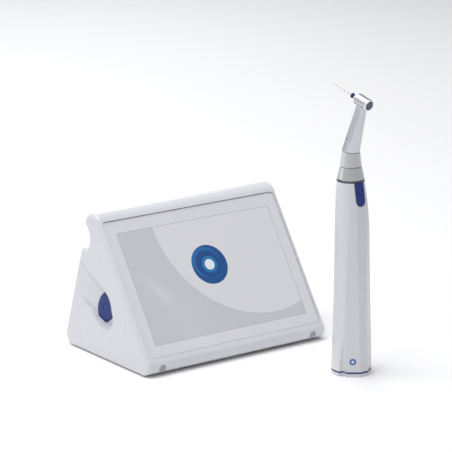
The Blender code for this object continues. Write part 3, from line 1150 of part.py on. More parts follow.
def make_spindle():
    """The hollow spindle that holds the file, with its crown wheel and two bearings."""
    top = HEAD_FRONT + SPINDLE_PROUD
    spindle = turned("spindle", [(SPINDLE_BORE, top), (SPINDLE_RADIUS, top), (SPINDLE_RADIUS, CROWN_TOP),
                                 (CROWN_RADIUS, CROWN_TOP), (CROWN_RADIUS, CROWN_LOW),
                                 (SPINDLE_RADIUS, CROWN_LOW), (SPINDLE_RADIUS, SPINDLE_LOW),
                                 (SPINDLE_BORE, SPINDLE_LOW)], HEAD, STEEL, ring=True, steps=24)
    for i in range(CROWN_TEETH):
        tooth = box(f"crown_tooth_{i}",
                    (-TOOTH_WIDTH / 2, PINION_NEAR - CROWN_TOOTH_REACH, CROWN_TOP - JOIN),
                    (TOOTH_WIDTH / 2, CROWN_RADIUS - CROWN_TOOTH_INSET, TOOTH_MESH - PINION_TIP), HEAD)
        tooth.rotation_euler = (0, 0, 2 * math.pi * i / CROWN_TEETH)
        join(spindle, tooth)
    tube("head_bearing_rear", HEAD_BORE - GAP, SPINDLE_RADIUS + GAP, SPINDLE_LOW + REAR_BEARING_STEP,
         CROWN_LOW - GAP, HEAD, BRASS, steps=MACHINED_SIDES)
    front_top = HEAD_FRONT - HEAD_FACE - GAP
    tube("head_bearing_front", HEAD_BORE - GAP, SPINDLE_RADIUS + GAP, front_top - FRONT_BEARING_HEIGHT,
         front_top, HEAD, BRASS, steps=MACHINED_SIDES)


def make_head_cap():
    """The push cap that frees the file, its ring and its spring washer."""
    ring_top = -HEAD_BACK - GAP
    ring_low = ring_top - CAP_RING_HEIGHT
    inner = HEAD_CAP_RADIUS + GAP
    turned("head_cap_ring", [(inner, ring_top), (HEAD_RADIUS, ring_top),
                             (HEAD_RADIUS, ring_low + CAP_RING_CHAMFER),
                             (HEAD_RADIUS - CAP_RING_CHAMFER, ring_low), (inner, ring_low)], HEAD, STEEL,
           ring=True, steps=HEAD_SIDES)
    cap_low = ring_low - HEAD_CAP_PROUD
    cap_top = cap_low + HEAD_CAP_HEIGHT
    turned("head_cap", [(0, cap_top), (HEAD_CAP_RADIUS, cap_top), (HEAD_CAP_RADIUS,
                                                                   cap_low + HEAD_CAP_CHAMFER),
                        (HEAD_CAP_RADIUS - HEAD_CAP_CHAMFER, cap_low), (0, cap_low)], HEAD, DARK,
           steps=HEAD_SIDES)
    washer_low = cap_top + HEAD_CAP_TRAVEL + GAP
    washer_top = max(SPINDLE_LOW - GAP, washer_low + GAP)
    tube("cap_spring", HEAD_CAP_RADIUS, SPINDLE_BORE, washer_low, washer_top, HEAD, STEEL,
         steps=MACHINED_SIDES)


def make_file():
    """Steel shank, nickel-titanium blade and the depth stopper on it."""
    shank_top = HEAD_FRONT + SHANK_OUT
    shank_low = SHANK_END_INSET - HEAD_BACK
    blade_top = HEAD_FRONT + BLADE_OUT
    socket_low = shank_top - BLADE_SOCKET
    socket = BLADE_RADIUS + GAP / 2
    turned("file_shank", [(0, socket_low - GAP), (socket, socket_low - GAP), (socket, shank_top),
                          (SHANK_RADIUS, shank_top), (SHANK_RADIUS, shank_low), (0, shank_low)], HEAD, STEEL,
           steps=MACHINED_SIDES)
    turned("file_blade", [(0, blade_top), (BLADE_TIP_RADIUS, blade_top - BLADE_TIP_LENGTH),
                          (BLADE_RADIUS, shank_top + BLADE_PARALLEL), (BLADE_RADIUS, socket_low),
                          (0, socket_low)], HEAD, NITI, steps=MACHINED_SIDES)
    low = HEAD_FRONT + STOPPER_OUT
    high = low + STOPPER_THICKNESS
    inner = BLADE_RADIUS + GAP
    turned("depth_stopper", [(inner, high), (STOPPER_RADIUS - STOPPER_ROUNDING, high),
                             (STOPPER_RADIUS, high - STOPPER_ROUNDING), (STOPPER_RADIUS,
                                                                         low + STOPPER_ROUNDING),
                             (STOPPER_RADIUS - STOPPER_ROUNDING, low), (inner, low)], HEAD, SILICONE,
                             ring=True)


make_housing()
make_display()
make_power_button()
make_base()
make_plugs_and_inlet()
make_body()
make_inside()
make_finger_button()
make_motor()
make_nose()
make_sleeves()
make_neck()
make_shafts()
make_spindle()
make_head_cap()
make_file()
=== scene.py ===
"""Looks of the endodontic motor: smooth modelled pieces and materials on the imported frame.

Metres, +Z up, in the frame's own axes. Lengths named in millimetres are multiplied by MM.
"""
import math

import bmesh
import bpy
from bpy.props import FloatProperty, FloatVectorProperty, IntProperty, PointerProperty
from bpy.types import Operator, Panel, PropertyGroup
from mathutils import Euler, Matrix, Vector


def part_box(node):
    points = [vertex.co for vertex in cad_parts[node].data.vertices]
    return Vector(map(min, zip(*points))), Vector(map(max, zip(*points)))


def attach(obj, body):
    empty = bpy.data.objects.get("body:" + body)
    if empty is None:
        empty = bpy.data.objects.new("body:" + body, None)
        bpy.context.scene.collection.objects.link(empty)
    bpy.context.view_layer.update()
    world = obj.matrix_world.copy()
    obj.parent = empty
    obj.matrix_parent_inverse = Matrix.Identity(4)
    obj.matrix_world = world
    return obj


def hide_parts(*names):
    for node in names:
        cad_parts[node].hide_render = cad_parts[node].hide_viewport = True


bl_info = {
    "name": "Endodontic motor",
    "version": (1, 0, 0),
    "blender": (4, 5, 0),
    "location": "3D View > Sidebar > Endo motor",
    "description": "Builds a touch console and its cordless contra-angle handpiece",
    "category": "Object",
}

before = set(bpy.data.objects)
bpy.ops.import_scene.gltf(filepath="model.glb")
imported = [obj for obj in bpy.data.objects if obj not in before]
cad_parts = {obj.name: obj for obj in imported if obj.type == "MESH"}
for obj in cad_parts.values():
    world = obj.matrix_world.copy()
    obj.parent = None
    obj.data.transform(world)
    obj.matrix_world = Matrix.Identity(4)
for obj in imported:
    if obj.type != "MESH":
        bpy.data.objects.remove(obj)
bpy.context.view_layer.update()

MM = 0.001
GAP = 0.3 * MM
OVERSHOOT = 1.0 * MM
MERGE_DISTANCE = 0.001 * MM
EDGE_SEGMENTS = 3


def linear(code):
    """Linear RGB of an sRGB hex colour."""
    parts = [int(code[i:i + 2], 16) / 255 for i in (1, 3, 5)]
    return tuple(c / 12.92 if c <= 0.04045 else ((c + 0.055) / 1.055) ** 2.4 for c in parts)


def shift(x, y, z):
    """Matrix that moves by a distance along each axis."""
    return Matrix.Translation((x, y, z))


def about(axis, angle):
    """Matrix that turns about an axis by an angle in radians."""
    return Matrix.Rotation(angle, 4, axis)


def in_mm(*points):
    """Points given in millimetres, as metres."""
    return [tuple(value * MM for value in point) for point in points]


# --- Sizes that several pieces share ---

WIDTH = 179.0 * MM
DEPTH = 121.0 * MM
HEIGHT = 117.3 * MM
FOOT_LIFT = 1.5 * MM
FRONT_SLOPE = math.radians(55.8)
REAR_SLOPE = math.radians(72.0)
WALL = 2.5 * MM
FRONT_WALL = 5.0 * MM
NOSE_RADIUS = 7.0 * MM
REAR_RADIUS = 8.0 * MM
ARCH_RADIUS = 11.3 * MM
TIP_RADIUS = 1.2 * MM
TIP_RADIUS_LEAST = 0.2 * MM
LIP_RADIUS = 4.0 * MM
CRADLE_RADIUS = 12.2 * MM
CRADLE_BACK = 17.0 * MM
CRADLE_DROP = 10.6 * MM
SHELF_DROP = 9.2 * MM
GLASS = (171.2 * MM, 118.0 * MM, 1.8 * MM)
GLASS_CORNER = 3.0 * MM
GLASS_SUNK = 0.8 * MM
GLASS_MIDDLE = 3.4 * MM + GLASS[1] / 2
PANEL = (163.0 * MM, 105.0 * MM)
BASE_RADIUS = 16.6 * MM
BASE_OFFSET = 4.6 * MM
SLEEVE_BOTTOM = 4.0 * MM
SLEEVE_TOP = 156.5 * MM
SLEEVE_WALL = 1.8 * MM
NOSE_RING_RADIUS = 11.15 * MM
BEND_HEIGHT = 180.7 * MM
BEND_RADIUS = 7.05 * MM
BEND_ANGLE = math.radians(17.0)
NECK_LENGTH = 42.7 * MM
NECK_TIP_RADIUS = 3.9 * MM
SWIVEL = math.radians(5.5)
FILE_RISE = math.radians(16.0)
HEAD_RADIUS = 4.7 * MM
HEAD_FRONT = 6.4 * MM
HEAD_BACK = 5.3 * MM

TOTAL_DEPTH = 216.7 * MM
REAR_Y = TOTAL_DEPTH / 2
NOSE_FRONT_Y = REAR_Y - DEPTH
NORMAL = (-math.sin(FRONT_SLOPE), math.cos(FRONT_SLOPE))
UP_SLOPE = (math.cos(FRONT_SLOPE), math.sin(FRONT_SLOPE))
REAR_NORMAL = (math.sin(REAR_SLOPE), math.cos(REAR_SLOPE))
NOSE_CENTRE = (NOSE_FRONT_Y + NOSE_RADIUS, NOSE_RADIUS)
REAR_CENTRE = (REAR_Y - REAR_RADIUS, REAR_RADIUS)
FRONT_ANGLE = math.pi / 2 + FRONT_SLOPE
REAR_ANGLE = math.pi / 2 - REAR_SLOPE
INNER_HALF_WIDTH = WIDTH / 2 - WALL


def along(direction, point):
    """Distance of a point along a direction, in two dimensions."""
    return direction[0] * point[0] + direction[1] * point[1]


ARCH_HEIGHT = HEIGHT - ARCH_RADIUS
FRONT_PLANE = along(NORMAL, NOSE_CENTRE) + NOSE_RADIUS
ARCH_CENTRE = ((ARCH_HEIGHT * NORMAL[1] + ARCH_RADIUS - FRONT_PLANE) / -NORMAL[0], ARCH_HEIGHT)
CRADLE_CENTRE = (ARCH_CENTRE[0] + CRADLE_BACK, ARCH_CENTRE[1] - CRADLE_DROP)
SHELF_HEIGHT = CRADLE_CENTRE[1] - SHELF_DROP
REAR_PLANE = along(REAR_NORMAL, REAR_CENTRE) + REAR_RADIUS
LIP_HEIGHT = SHELF_HEIGHT - LIP_RADIUS
LIP_CENTRE = ((REAR_PLANE - LIP_RADIUS - LIP_HEIGHT * REAR_NORMAL[1]) / REAR_NORMAL[0], LIP_HEIGHT)

# Local frames of the object's parts
CONSOLE = shift(0, 0, FOOT_LIFT)
SCREEN = CONSOLE @ shift(0, NOSE_CENTRE[0] + NOSE_RADIUS * NORMAL[0] + GLASS_MIDDLE * UP_SLOPE[0],
                         NOSE_CENTRE[1] + NOSE_RADIUS * NORMAL[1] + GLASS_MIDDLE * UP_SLOPE[1])
SCREEN = SCREEN @ about("X", FRONT_SLOPE)
SCOOP_TILT = math.radians(13.0)
SCOOP_ORIGIN_BACK = 22.0 * MM
SCOOP = CONSOLE @ shift(-WIDTH / 2, REAR_Y - SCOOP_ORIGIN_BACK, 0)
SCOOP = SCOOP @ Euler((math.pi / 2, 0, SCOOP_TILT - math.pi / 2)).to_matrix().to_4x4()
INLET_X = 50.0 * MM
INLET_HEIGHT = 18.0 * MM
INLET_Y = (REAR_PLANE - INLET_HEIGHT * REAR_NORMAL[1]) / REAR_NORMAL[0]
INLET = CONSOLE @ shift(INLET_X, INLET_Y, INLET_HEIGHT) @ about("X", -REAR_SLOPE)
HANDPIECE_X = 53.0 * MM
NOSE = shift(HANDPIECE_X, -TOTAL_DEPTH / 2 + BASE_RADIUS + BASE_OFFSET, 0)
CONTRA = NOSE @ about("Z", SWIVEL)
BEND = CONTRA @ shift(0, 0, BEND_HEIGHT)
KNEE = BEND @ about("X", BEND_ANGLE / 2)
NECK = BEND @ about("X", BEND_ANGLE)
HEAD = CONTRA @ shift(0, -NECK_LENGTH * math.sin(BEND_ANGLE),
                      BEND_HEIGHT + NECK_LENGTH * math.cos(BEND_ANGLE))
HEAD = HEAD @ about("X", FILE_RISE - math.pi / 2)
UPRIGHT = about("X", math.pi / 2)


# --- Mesh helpers ---

def shape(name, bm, place=None):
    """Turn a bmesh into a smooth object that sits at a local frame."""
    mesh = bpy.data.meshes.new(name)
    bmesh.ops.recalc_face_normals(bm, faces=bm.faces)
    bm.to_mesh(mesh)
    bm.free()
    mesh.shade_smooth()
    obj = bpy.data.objects.new(name, mesh)
    bpy.context.scene.collection.objects.link(obj)
    obj.matrix_world = place or Matrix()
    return obj


def loft(name, rings, place=None):
    """Skin a row of unlike rings that hold equally many points, and close both ends."""
    bm = bmesh.new()
    rows = [[bm.verts.new(point) for point in ring] for ring in rings]
    count = len(rows[0])
    for near, far in zip(rows, rows[1:]):
        for i in range(count):
            j = (i + 1) % count
            bm.faces.new((near[i], near[j], far[j], far[i]))
    bm.faces.new(rows[0])
    bm.faces.new(rows[-1])
    return shape(name, bm, place)


def turned(name, profile, place=None, sides=72, centre=(0, 0)):
    """Spin a (radius, height) profile about Z; one that starts off the axis closes on itself."""
    bm = bmesh.new()
    rows = []
    for i in range(sides):
        angle = 2 * math.pi * i / sides
        across, aside = math.cos(angle), math.sin(angle)
        rows.append([bm.verts.new((centre[0] + r * across, centre[1] + r * aside, h)) for r, h in profile])
    count = len(profile)
    ring = profile[0][0] > 0
    for i in range(sides):
        near, far = rows[i], rows[(i + 1) % sides]
        for j in range(count if ring else count - 1):
            k = (j + 1) % count
            bm.faces.new((near[j], far[j], far[k], near[k]))
    bmesh.ops.remove_doubles(bm, verts=bm.verts, dist=MERGE_DISTANCE)
    return shape(name, bm, place)


def rod(name, radius, low, high, place=None, centre=(0, 0), top=None):
    """A cylinder along Z, or a cone where its top has a radius of its own."""
    end = radius if top is None else top
    return turned(name, [(0, low), (radius, low), (end, high), (0, high)], place, 48, centre)


def prism(name, outline, low, high, place=None):
    """Extrude a closed (x, y) outline between two heights."""
    return loft(name, [[(x, y, z) for x, y in outline] for z in (low, high)], place)


def box(name, low, high, place=None):
    """A box between two corners."""
    outline = [(low[0], low[1]), (high[0], low[1]), (high[0], high[1]), (low[0], high[1])]
    return prism(name, outline, low[2], high[2], place)


def settle(obj):
    """Write the modifiers of an object into its mesh."""
    bpy.context.view_layer.update()
    mesh = bpy.data.meshes.new_from_object(obj.evaluated_get(bpy.context.evaluated_depsgraph_get()))
    obj.modifiers.clear()
    obj.data = mesh


def carve(target, *tools, operation="DIFFERENCE"):
    """Cut tools away from a target, join them on or keep what they share; the tools are used up."""
    for tool in tools:
        modifier = target.modifiers.new("Carving", "BOOLEAN")
        modifier.operation = operation
        modifier.object = tool
    settle(target)
    for tool in tools:
        bpy.data.objects.remove(tool)


def soften(obj, width, angle):
    """Round the edges of an object that are sharper than an angle in degrees."""
    modifier = obj.modifiers.new("Rounding", "BEVEL")
    modifier.width = width
    modifier.segments = EDGE_SEGMENTS
    modifier.limit_method = "ANGLE"
    modifier.angle_limit = math.radians(angle)
    modifier.use_clamp_overlap = True
    settle(obj)


def shaded(obj, angle):
    """Shade an object smooth up to an angle, with its large faces kept flat."""
    obj.data.shade_smooth()
    obj.data.set_sharp_from_angle(angle=math.radians(angle))
    modifier = obj.modifiers.new("Normals", "WEIGHTED_NORMAL")
    modifier.keep_sharp = True


def arc(centre, radius, start, end, steps, upright=None):
    """Points along an arc, angles in radians; upright is the radius below its centre."""
    points = []
    for i in range(steps + 1):
        angle = start + (end - start) * i / steps
        rise = upright if upright and math.sin(angle) < 0 else radius
        points.append((centre[0] + radius * math.cos(angle), centre[1] + rise * math.sin(angle)))
    return points


def rounded_rectangle(width, height, radius, steps=8):
    """Outline of a rectangle with round corners, about the origin."""
    points = []
    x, y = width / 2 - radius, height / 2 - radius
    for i, corner in enumerate(((x, y), (-x, y), (-x, -y), (x, -y))):
        points += arc(corner, radius, i * math.pi / 2, (i + 1) * math.pi / 2, steps)
    return points


def fit_out(obj, finish, body, slot, *nodes, angle=40.0, keep_frame=False):
    """Shade a piece, give it its finish and its body, and hide the CAD nodes that it stands for; slot is not
    used.
    """
    shaded(obj, angle)
    if not keep_frame:
        obj.data.transform(obj.matrix_world)
        obj.matrix_world = Matrix()
    obj.data.materials.clear()
    obj.data.materials.append(MATERIALS[finish])
    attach(obj, body)
    if nodes:
        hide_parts(*nodes)


# --- Materials ---

def new_material(name):
    """A material with an empty Principled shader; returns it with its tree and shader."""
    material = bpy.data.materials.new(name)
    material.use_nodes = True
    return material, material.node_tree, material.node_tree.nodes["Principled BSDF"]


def wire(tree, node, inputs):
    """Link or set the inputs of a node."""
    for key, value in inputs.items():
        if isinstance(value, bpy.types.NodeSocket):
            tree.links.new(value, node.inputs[key])
        else:
            node.inputs[key].default_value = value


def add(tree, kind, inputs, **settings):
    """Add a shader node, set it, link or set its inputs, and return it."""
    node = tree.nodes.new("ShaderNode" + kind)
    for name, value in settings.items():
        setattr(node, name, value)
    wire(tree, node, inputs)
    return node


def surface(name, light, dark, rough, metallic=0.0, grain=0.6, relief=0.01, stretch=(1, 1, 1), coat=0.0,
            mottle=14.0):
    """A material whose colour drifts between two tones, with a fine relief and uneven gloss.

    grain is the size of the relief in mm, mottle that of the colour drift, relief its depth in mm.
    """
    material, tree, shader = new_material(name)
    place = add(tree, "TexCoord", {}).outputs["Object"]
    drift = add(tree, "TexNoise", {"Vector": place, "Scale": 1 / (mottle * MM), "Detail": 3.0})
    tones = {0: drift.outputs["Fac"], 6: (*linear(dark), 1), 7: (*linear(light), 1)}
    colour = add(tree, "Mix", tones, data_type="RGBA")
    laid = add(tree, "Mapping", {"Vector": place, "Scale": stretch})
    fine = add(tree, "TexNoise", {"Vector": laid.outputs[0], "Scale": 1 / (grain * MM), "Detail": 2.0})
    gloss = add(tree, "MapRange", {0: fine.outputs["Fac"], 3: rough[0], 4: rough[1]})
    bump = add(tree, "Bump", {"Height": fine.outputs["Fac"], "Strength": 1.0, "Distance": relief * MM})
    wire(tree, shader, {"Metallic": metallic, "Coat Weight": coat, "Base Color": colour.outputs[2],
                        "Roughness": gloss.outputs[0], "Normal": bump.outputs[0]})
    return material


GRIP_MARK_AZIMUTH = math.radians(233.7)
GRIP_MARK_REACH = BASE_RADIUS - 2.1 * MM
GRIP_MARK_HEIGHT = 12.5 * MM
GRIP_MARK_LAYERS = ((2.7 * MM, "#3A66B0"), (1.2 * MM, "#D5DFEE"))
SHANK_BAND_MIDDLE = HEAD_FRONT + 1.6 * MM
SHANK_BAND_REACH = 1.5 * MM


def make_materials():
    """Every material of the object, by a short key."""
    made = {}
    # Moulded gloss ABS keeps a faint orange-peel skin, so that long highlights waver slightly.
    skin = {"light": "#DCDCE1", "dark": "#D6D6DC", "rough": (0.22, 0.30), "grain": 3.0, "relief": 0.0008,
            "mottle": 60.0}
    made["white"] = surface("injection_moulded_gloss_abs_white", **skin)
    # The same moulded skin with a plain round mark pad-printed low on the front.
    made["grip"] = surface("pad_printed_gloss_abs_white", **skin)
    spot = NOSE @ Vector((GRIP_MARK_REACH * math.cos(GRIP_MARK_AZIMUTH),
                          GRIP_MARK_REACH * math.sin(GRIP_MARK_AZIMUTH) - BASE_OFFSET, GRIP_MARK_HEIGHT))
    for radius, tone in GRIP_MARK_LAYERS:
        mark(made["grip"], spot, radius, tone)
    # ABS from a spark-eroded mould has a fine even grain that spreads the light.
    made["blue"] = surface("spark_eroded_satin_abs_blue", "#1F3C86", "#183070", (0.34, 0.46), grain=0.5,
                           relief=0.012, mottle=9.0)
    # Moulded elastomer gives soft highlights and a slightly uneven tone, in blue and in grey.
    made["seal"] = surface("moulded_elastomer_blue", "#2C4A9A", "#20387E", (0.42, 0.55), grain=0.4)
    made["plug"] = surface("moulded_elastomer_grey", "#A9AAAE", "#9B9CA1", (0.5, 0.65), grain=0.4,
                           relief=0.02)
    # Black rubber pressed in a mould is dull, with a dusty speckle.
    made["rubber"] = surface("compression_moulded_rubber_black", "#2A2A2C", "#1C1C1E", (0.6, 0.78),
                             grain=0.35, relief=0.03, mottle=5.0)
    # Fine bead blasting leaves steel with an even, pale satin.
    made["steel"] = surface("bead_blasted_stainless_steel", "#F0F0F2", "#E4E5E8", (0.30, 0.42), 1.0,
                            grain=0.25, relief=0.002, mottle=12.0)
    # Steel brushed lengthwise before blasting is a shade deeper, with a grain that runs along the neck.
    made["neck"] = surface("brushed_and_blasted_stainless_steel", "#CFD0D5", "#C2C3C9", (0.26, 0.38), 1.0,
                           grain=0.25, relief=0.002, stretch=(1, 1, 0.3), mottle=12.0)
    # Polished steel mirrors the light with hardly a blur.
    polish = {"light": "#E6E6EA", "dark": "#D8D8DD", "rough": (0.08, 0.16), "metallic": 1.0, "grain": 0.5,
              "relief": 0.001, "mottle": 8.0}
    made["bright"] = surface("polished_stainless_steel", **polish)
    # The same polish with a blue enamel ring round the file's shank, near the head.
    made["shank"] = surface("enamel_banded_stainless_steel", **polish)
    mark(made["shank"], HEAD @ Vector((0, 0, SHANK_BAND_MIDDLE)), SHANK_BAND_REACH, "#2B438A")
    # Turned and blackened steel: tight rings round the axis show in the gloss.
    made["dark"] = surface("turned_black_oxide_steel", "#6A6C78", "#50525E", (0.22, 0.36), 1.0, grain=0.3,
                           relief=0.004, stretch=(0.15, 0.15, 1), mottle=6.0)
    # Zinc plate is pale grey and cloudy.
    made["zinc"] = surface("zinc_plated_cold_headed_steel", "#B9BCC2", "#9DA0A8", (0.28, 0.42), 1.0,
                           grain=0.4, relief=0.006, mottle=3.0)
    # Glass fibres near the skin leave black polyamide matt and faintly rough.
    made["black"] = surface("moulded_glass_filled_polyamide_black", "#262628", "#1A1A1C", (0.45, 0.6),
                            grain=0.5, relief=0.02)
    # Solder mask over copper is green, darker where there is no copper below it, under a thin gloss.
    made["board"] = surface("solder_masked_glass_epoxy_board", "#1F6B3C", "#154A2A", (0.3, 0.42), grain=1.2,
                            relief=0.02, mottle=4.0, coat=0.3)
    # Wound wire shows as close ridges under clear orange enamel.
    made["copper"] = surface("wound_enamelled_copper_wire", "#C98252", "#A9623A", (0.22, 0.34), 1.0,
                             grain=0.4, relief=0.05, stretch=(1, 1, 6), mottle=4.0)
    # Sintered bronze is yellow-brown and finely pitted.
    made["bronze"] = surface("sintered_bronze_bearing", "#C7A25C", "#A58242", (0.26, 0.4), 1.0, grain=0.3,
                             mottle=2.0)
    # Shrunk film lies taut with long, low ripples.
    made["wrap"] = surface("shrink_wrapped_pvc_film_blue", "#2F5C9A", "#26508C", (0.2, 0.34), grain=6.0,
                           relief=0.05, coat=0.2)
    # Ground nickel-titanium is silvery, a little warmer and duller in patches from its heat treatment.
    made["niti"] = surface("ground_heat_treated_nickel_titanium", "#D3D3D8", "#B9B5B2", (0.2, 0.34), 1.0,
                           grain=0.2, relief=0.004, mottle=3.0)
    # Moulded silicone has a soft, even sheen.
    made["silicone"] = surface("moulded_silicone_blue", "#2B438A", "#1F3372", (0.4, 0.52), grain=0.3,
                               mottle=2.0)
    # Painted board is a smooth, nearly even white.
    made["floor"] = surface("smooth_painted_board_white", "#FBFBFB", "#F7F7F8", (0.5, 0.6), grain=8.0,
                            relief=0.004, mottle=900.0)
    # A back-lit display cell is a smooth dark grey from behind its own glass.
    made["panel"] = surface("back_lit_display_cell", "#2E3036", "#26282D", (0.2, 0.3), grain=0.3,
                            relief=0.002)
    made["screen"] = make_screen_material()
    return made


ACTIVE = (151.0 * MM, 96.7 * MM)
ACTIVE_DROP = 0.6 * MM
RIM = 0.7 * MM
SWIRL_CENTRE = (47.5 * MM, 46.3 * MM)
SWIRL_RADIUS = 88.3 * MM
DISC_CENTRE = (0.3 * MM, 8.0 * MM)
DISC_RADIUS = 17.0 * MM
DISC_LAYERS = (((-2.5 * MM, 10.5 * MM), 13.2 * MM, "#2467A8"), ((-1.0 * MM, 9.0 * MM), 11.6 * MM, "#124A8A"),
               (DISC_CENTRE, 7.4 * MM, "#1D73AC"), (DISC_CENTRE, 4.6 * MM, "#E4ECF4"))
PRINT_EDGE = 0.12 * MM
BORDER_MOTTLE = 25.0 * MM
SMEAR_SIZE = 100.0 / 3 * MM


def near_point(tree, place, point, radius):
    """One nearer to a point than a radius, nought farther off, with a narrow soft edge."""
    distance = add(tree, "VectorMath", {0: place, 1: point}, operation="DISTANCE").outputs["Value"]
    return add(tree, "MapRange", {0: distance, 1: radius + PRINT_EDGE, 2: radius - PRINT_EDGE}).outputs[0]


def inside_rectangle(tree, place, size, middle):
    """One inside a rectangle about a middle height, nought outside."""
    moved = add(tree, "VectorMath", {0: place, 1: (0, middle, 0)}, operation="SUBTRACT").outputs[0]
    folded = add(tree, "VectorMath", {0: moved}, operation="ABSOLUTE").outputs[0]
    past = add(tree, "VectorMath", {0: folded, 1: (size[0] / 2, size[1] / 2, 0)}, operation="SUBTRACT")
    axes = add(tree, "SeparateXYZ", {0: past.outputs[0]}).outputs
    worst = add(tree, "Math", {0: axes[0], 1: axes[1]}, operation="MAXIMUM").outputs[0]
    return add(tree, "Math", {0: worst, 1: 0.0}, operation="LESS_THAN").outputs[0]


def make_screen_material():
    """Back-printed cover glass over a lit display that shows a plain start picture."""
    # Float glass is flat and clear; its print shows through it, with a faint smear in the gloss.
    material, tree, shader = new_material("back_printed_float_glass")
    place = add(tree, "TexCoord", {}).outputs["Object"]
    drift = add(tree, "TexNoise", {"Vector": place, "Scale": 1 / BORDER_MOTTLE}).outputs["Fac"]
    border = {0: drift, 6: (*linear("#DADADE"), 1), 7: (*linear("#DEDEE2"), 1)}
    colour = add(tree, "Mix", border, data_type="RGBA").outputs[2]
    rim = inside_rectangle(tree, place, (ACTIVE[0] + RIM, ACTIVE[1] + RIM), -ACTIVE_DROP)
    lit = inside_rectangle(tree, place, ACTIVE, -ACTIVE_DROP)
    swirl = near_point(tree, place, (*SWIRL_CENTRE, -GLASS_SUNK), SWIRL_RADIUS)
    lit_swirl = add(tree, "Math", {0: swirl, 1: lit}, operation="MULTIPLY").outputs[0]
    disc = near_point(tree, place, (*DISC_CENTRE, -GLASS_SUNK), DISC_RADIUS)
    # Each layer is drawn over the ones before it: the gap round the display, its two tones, the disc.
    layers = [(rim, "#A4A4AA"), (lit, "#C9CACF"), (lit_swirl, "#DDDDE1"), (disc, "#17508F")]
    for centre, radius, tone in DISC_LAYERS:
        part = near_point(tree, place, (*centre, -GLASS_SUNK), radius)
        layers.append((add(tree, "Math", {0: part, 1: disc}, operation="MULTIPLY").outputs[0], tone))
    for mask, tone in layers:
        colour = add(tree, "Mix", {0: mask, 6: colour, 7: (*linear(tone), 1)}, data_type="RGBA").outputs[2]
    smear = add(tree, "TexNoise", {"Vector": place, "Scale": 1 / SMEAR_SIZE, "Detail": 3.0})
    gloss = add(tree, "MapRange", {0: smear.outputs["Fac"], 3: 0.1, 4: 0.16})
    wire(tree, shader, {"IOR": 1.52, "Coat Weight": 0.25, "Coat Roughness": 0.03, "Base Color": colour,
                        "Roughness": gloss.outputs[0]})
    return material


def mark(material, middle, radius, tone):
    """Lay a plain printed or enamelled mark round a point over the colour of a material."""
    tree = material.node_tree
    shader = tree.nodes["Principled BSDF"]
    below = shader.inputs["Base Color"].links[0].from_socket
    place = add(tree, "TexCoord", {}).outputs["Object"]
    mask = near_point(tree, place, middle, radius)
    colour = add(tree, "Mix", {0: mask, 6: below, 7: (*linear(tone), 1)}, data_type="RGBA")
    tree.links.new(colour.outputs[2], shader.inputs["Base Color"])


MATERIALS = {}


# --- Console ---

LEDGE = 1.5 * MM


def tip_rounding(arch_radius, cradle_radius, radius):
    """Centre of the round tip between the arch and the cradle, and the directions where it meets them."""
    reach_a, reach_b = arch_radius - radius, cradle_radius + radius
    span = math.hypot(CRADLE_BACK, CRADLE_DROP)
    along_span = (reach_a ** 2 - reach_b ** 2 + span ** 2) / (2 * span)
    aside = math.sqrt(reach_a ** 2 - along_span ** 2)
    unit = (CRADLE_BACK / span, -CRADLE_DROP / span)
    centre = (ARCH_CENTRE[0] + unit[0] * along_span - unit[1] * aside,
              ARCH_CENTRE[1] + unit[1] * along_span + unit[0] * aside)
    leave = math.atan2(centre[1] - ARCH_CENTRE[1], centre[0] - ARCH_CENTRE[0])
    arrive = math.atan2(CRADLE_CENTRE[1] - centre[1], CRADLE_CENTRE[0] - centre[0])
    return centre, leave, arrive


def console_outline(wall, front_wall, open_below):
    """Side outline of the console as (y, height), drawn in by its walls; a cavity stays open below."""
    upright = (None, None) if open_below else (NOSE_RADIUS, REAR_RADIUS)
    points = arc(NOSE_CENTRE, NOSE_RADIUS - front_wall, 1.5 * math.pi, FRONT_ANGLE, 24, upright[0])
    arch_radius = ARCH_RADIUS - front_wall
    cradle_radius = CRADLE_RADIUS + wall
    tip_radius = max(TIP_RADIUS - wall, TIP_RADIUS_LEAST)
    tip, leave, arrive = tip_rounding(arch_radius, cradle_radius, tip_radius)
    points += arc(ARCH_CENTRE, arch_radius, FRONT_ANGLE, leave, 36)
    points += arc(tip, tip_radius, leave, arrive, 6)[1:]
    shelf_angle = math.pi + math.asin((SHELF_DROP + wall) / cradle_radius)
    points += arc(CRADLE_CENTRE, cradle_radius, arrive + math.pi, shelf_angle, 24)[1:]
    points += arc(LIP_CENTRE, max(LIP_RADIUS - wall, TIP_RADIUS_LEAST), math.pi / 2, REAR_ANGLE, 12)
    points += arc(REAR_CENTRE, REAR_RADIUS - wall, REAR_ANGLE, -math.pi / 2, 20, upright[1])
    if open_below:
        front, rear = NOSE_CENTRE[0] + LEDGE, REAR_CENTRE[0] - LEDGE
        points += [(rear, points[-1][1]), (rear, -OVERSHOOT), (front, -OVERSHOOT), (front, points[0][1])]
    return points


SCOOP_CENTRE = (35.6 * MM, 35.6 * MM)
SCOOP_RADIUS = 9.5 * MM
SCOOP_DRAFT = 0.25
SCOOP_BULGE = 2.2 * MM
SCOOP_LOW, SCOOP_FRONT, SCOOP_TOP = (math.radians(degrees) for degrees in (-120.0, 29.0, 60.0))
SCOOP_RISE = 17.0 * MM
SCOOP_BACK = 24.0 * MM
SCOOP_REACH = 40.0 * MM
BOW_STEPS = 20
BUTTON_CENTRE = (31.0 * MM, 40.7 * MM)
BUTTON_HALF = (9.0 * MM, 13.4 * MM)
BUTTON_TILT = math.radians(20.0)
PLUG_ANGLE = math.radians(200.0)
PLUG_INSET = 13.9 * MM


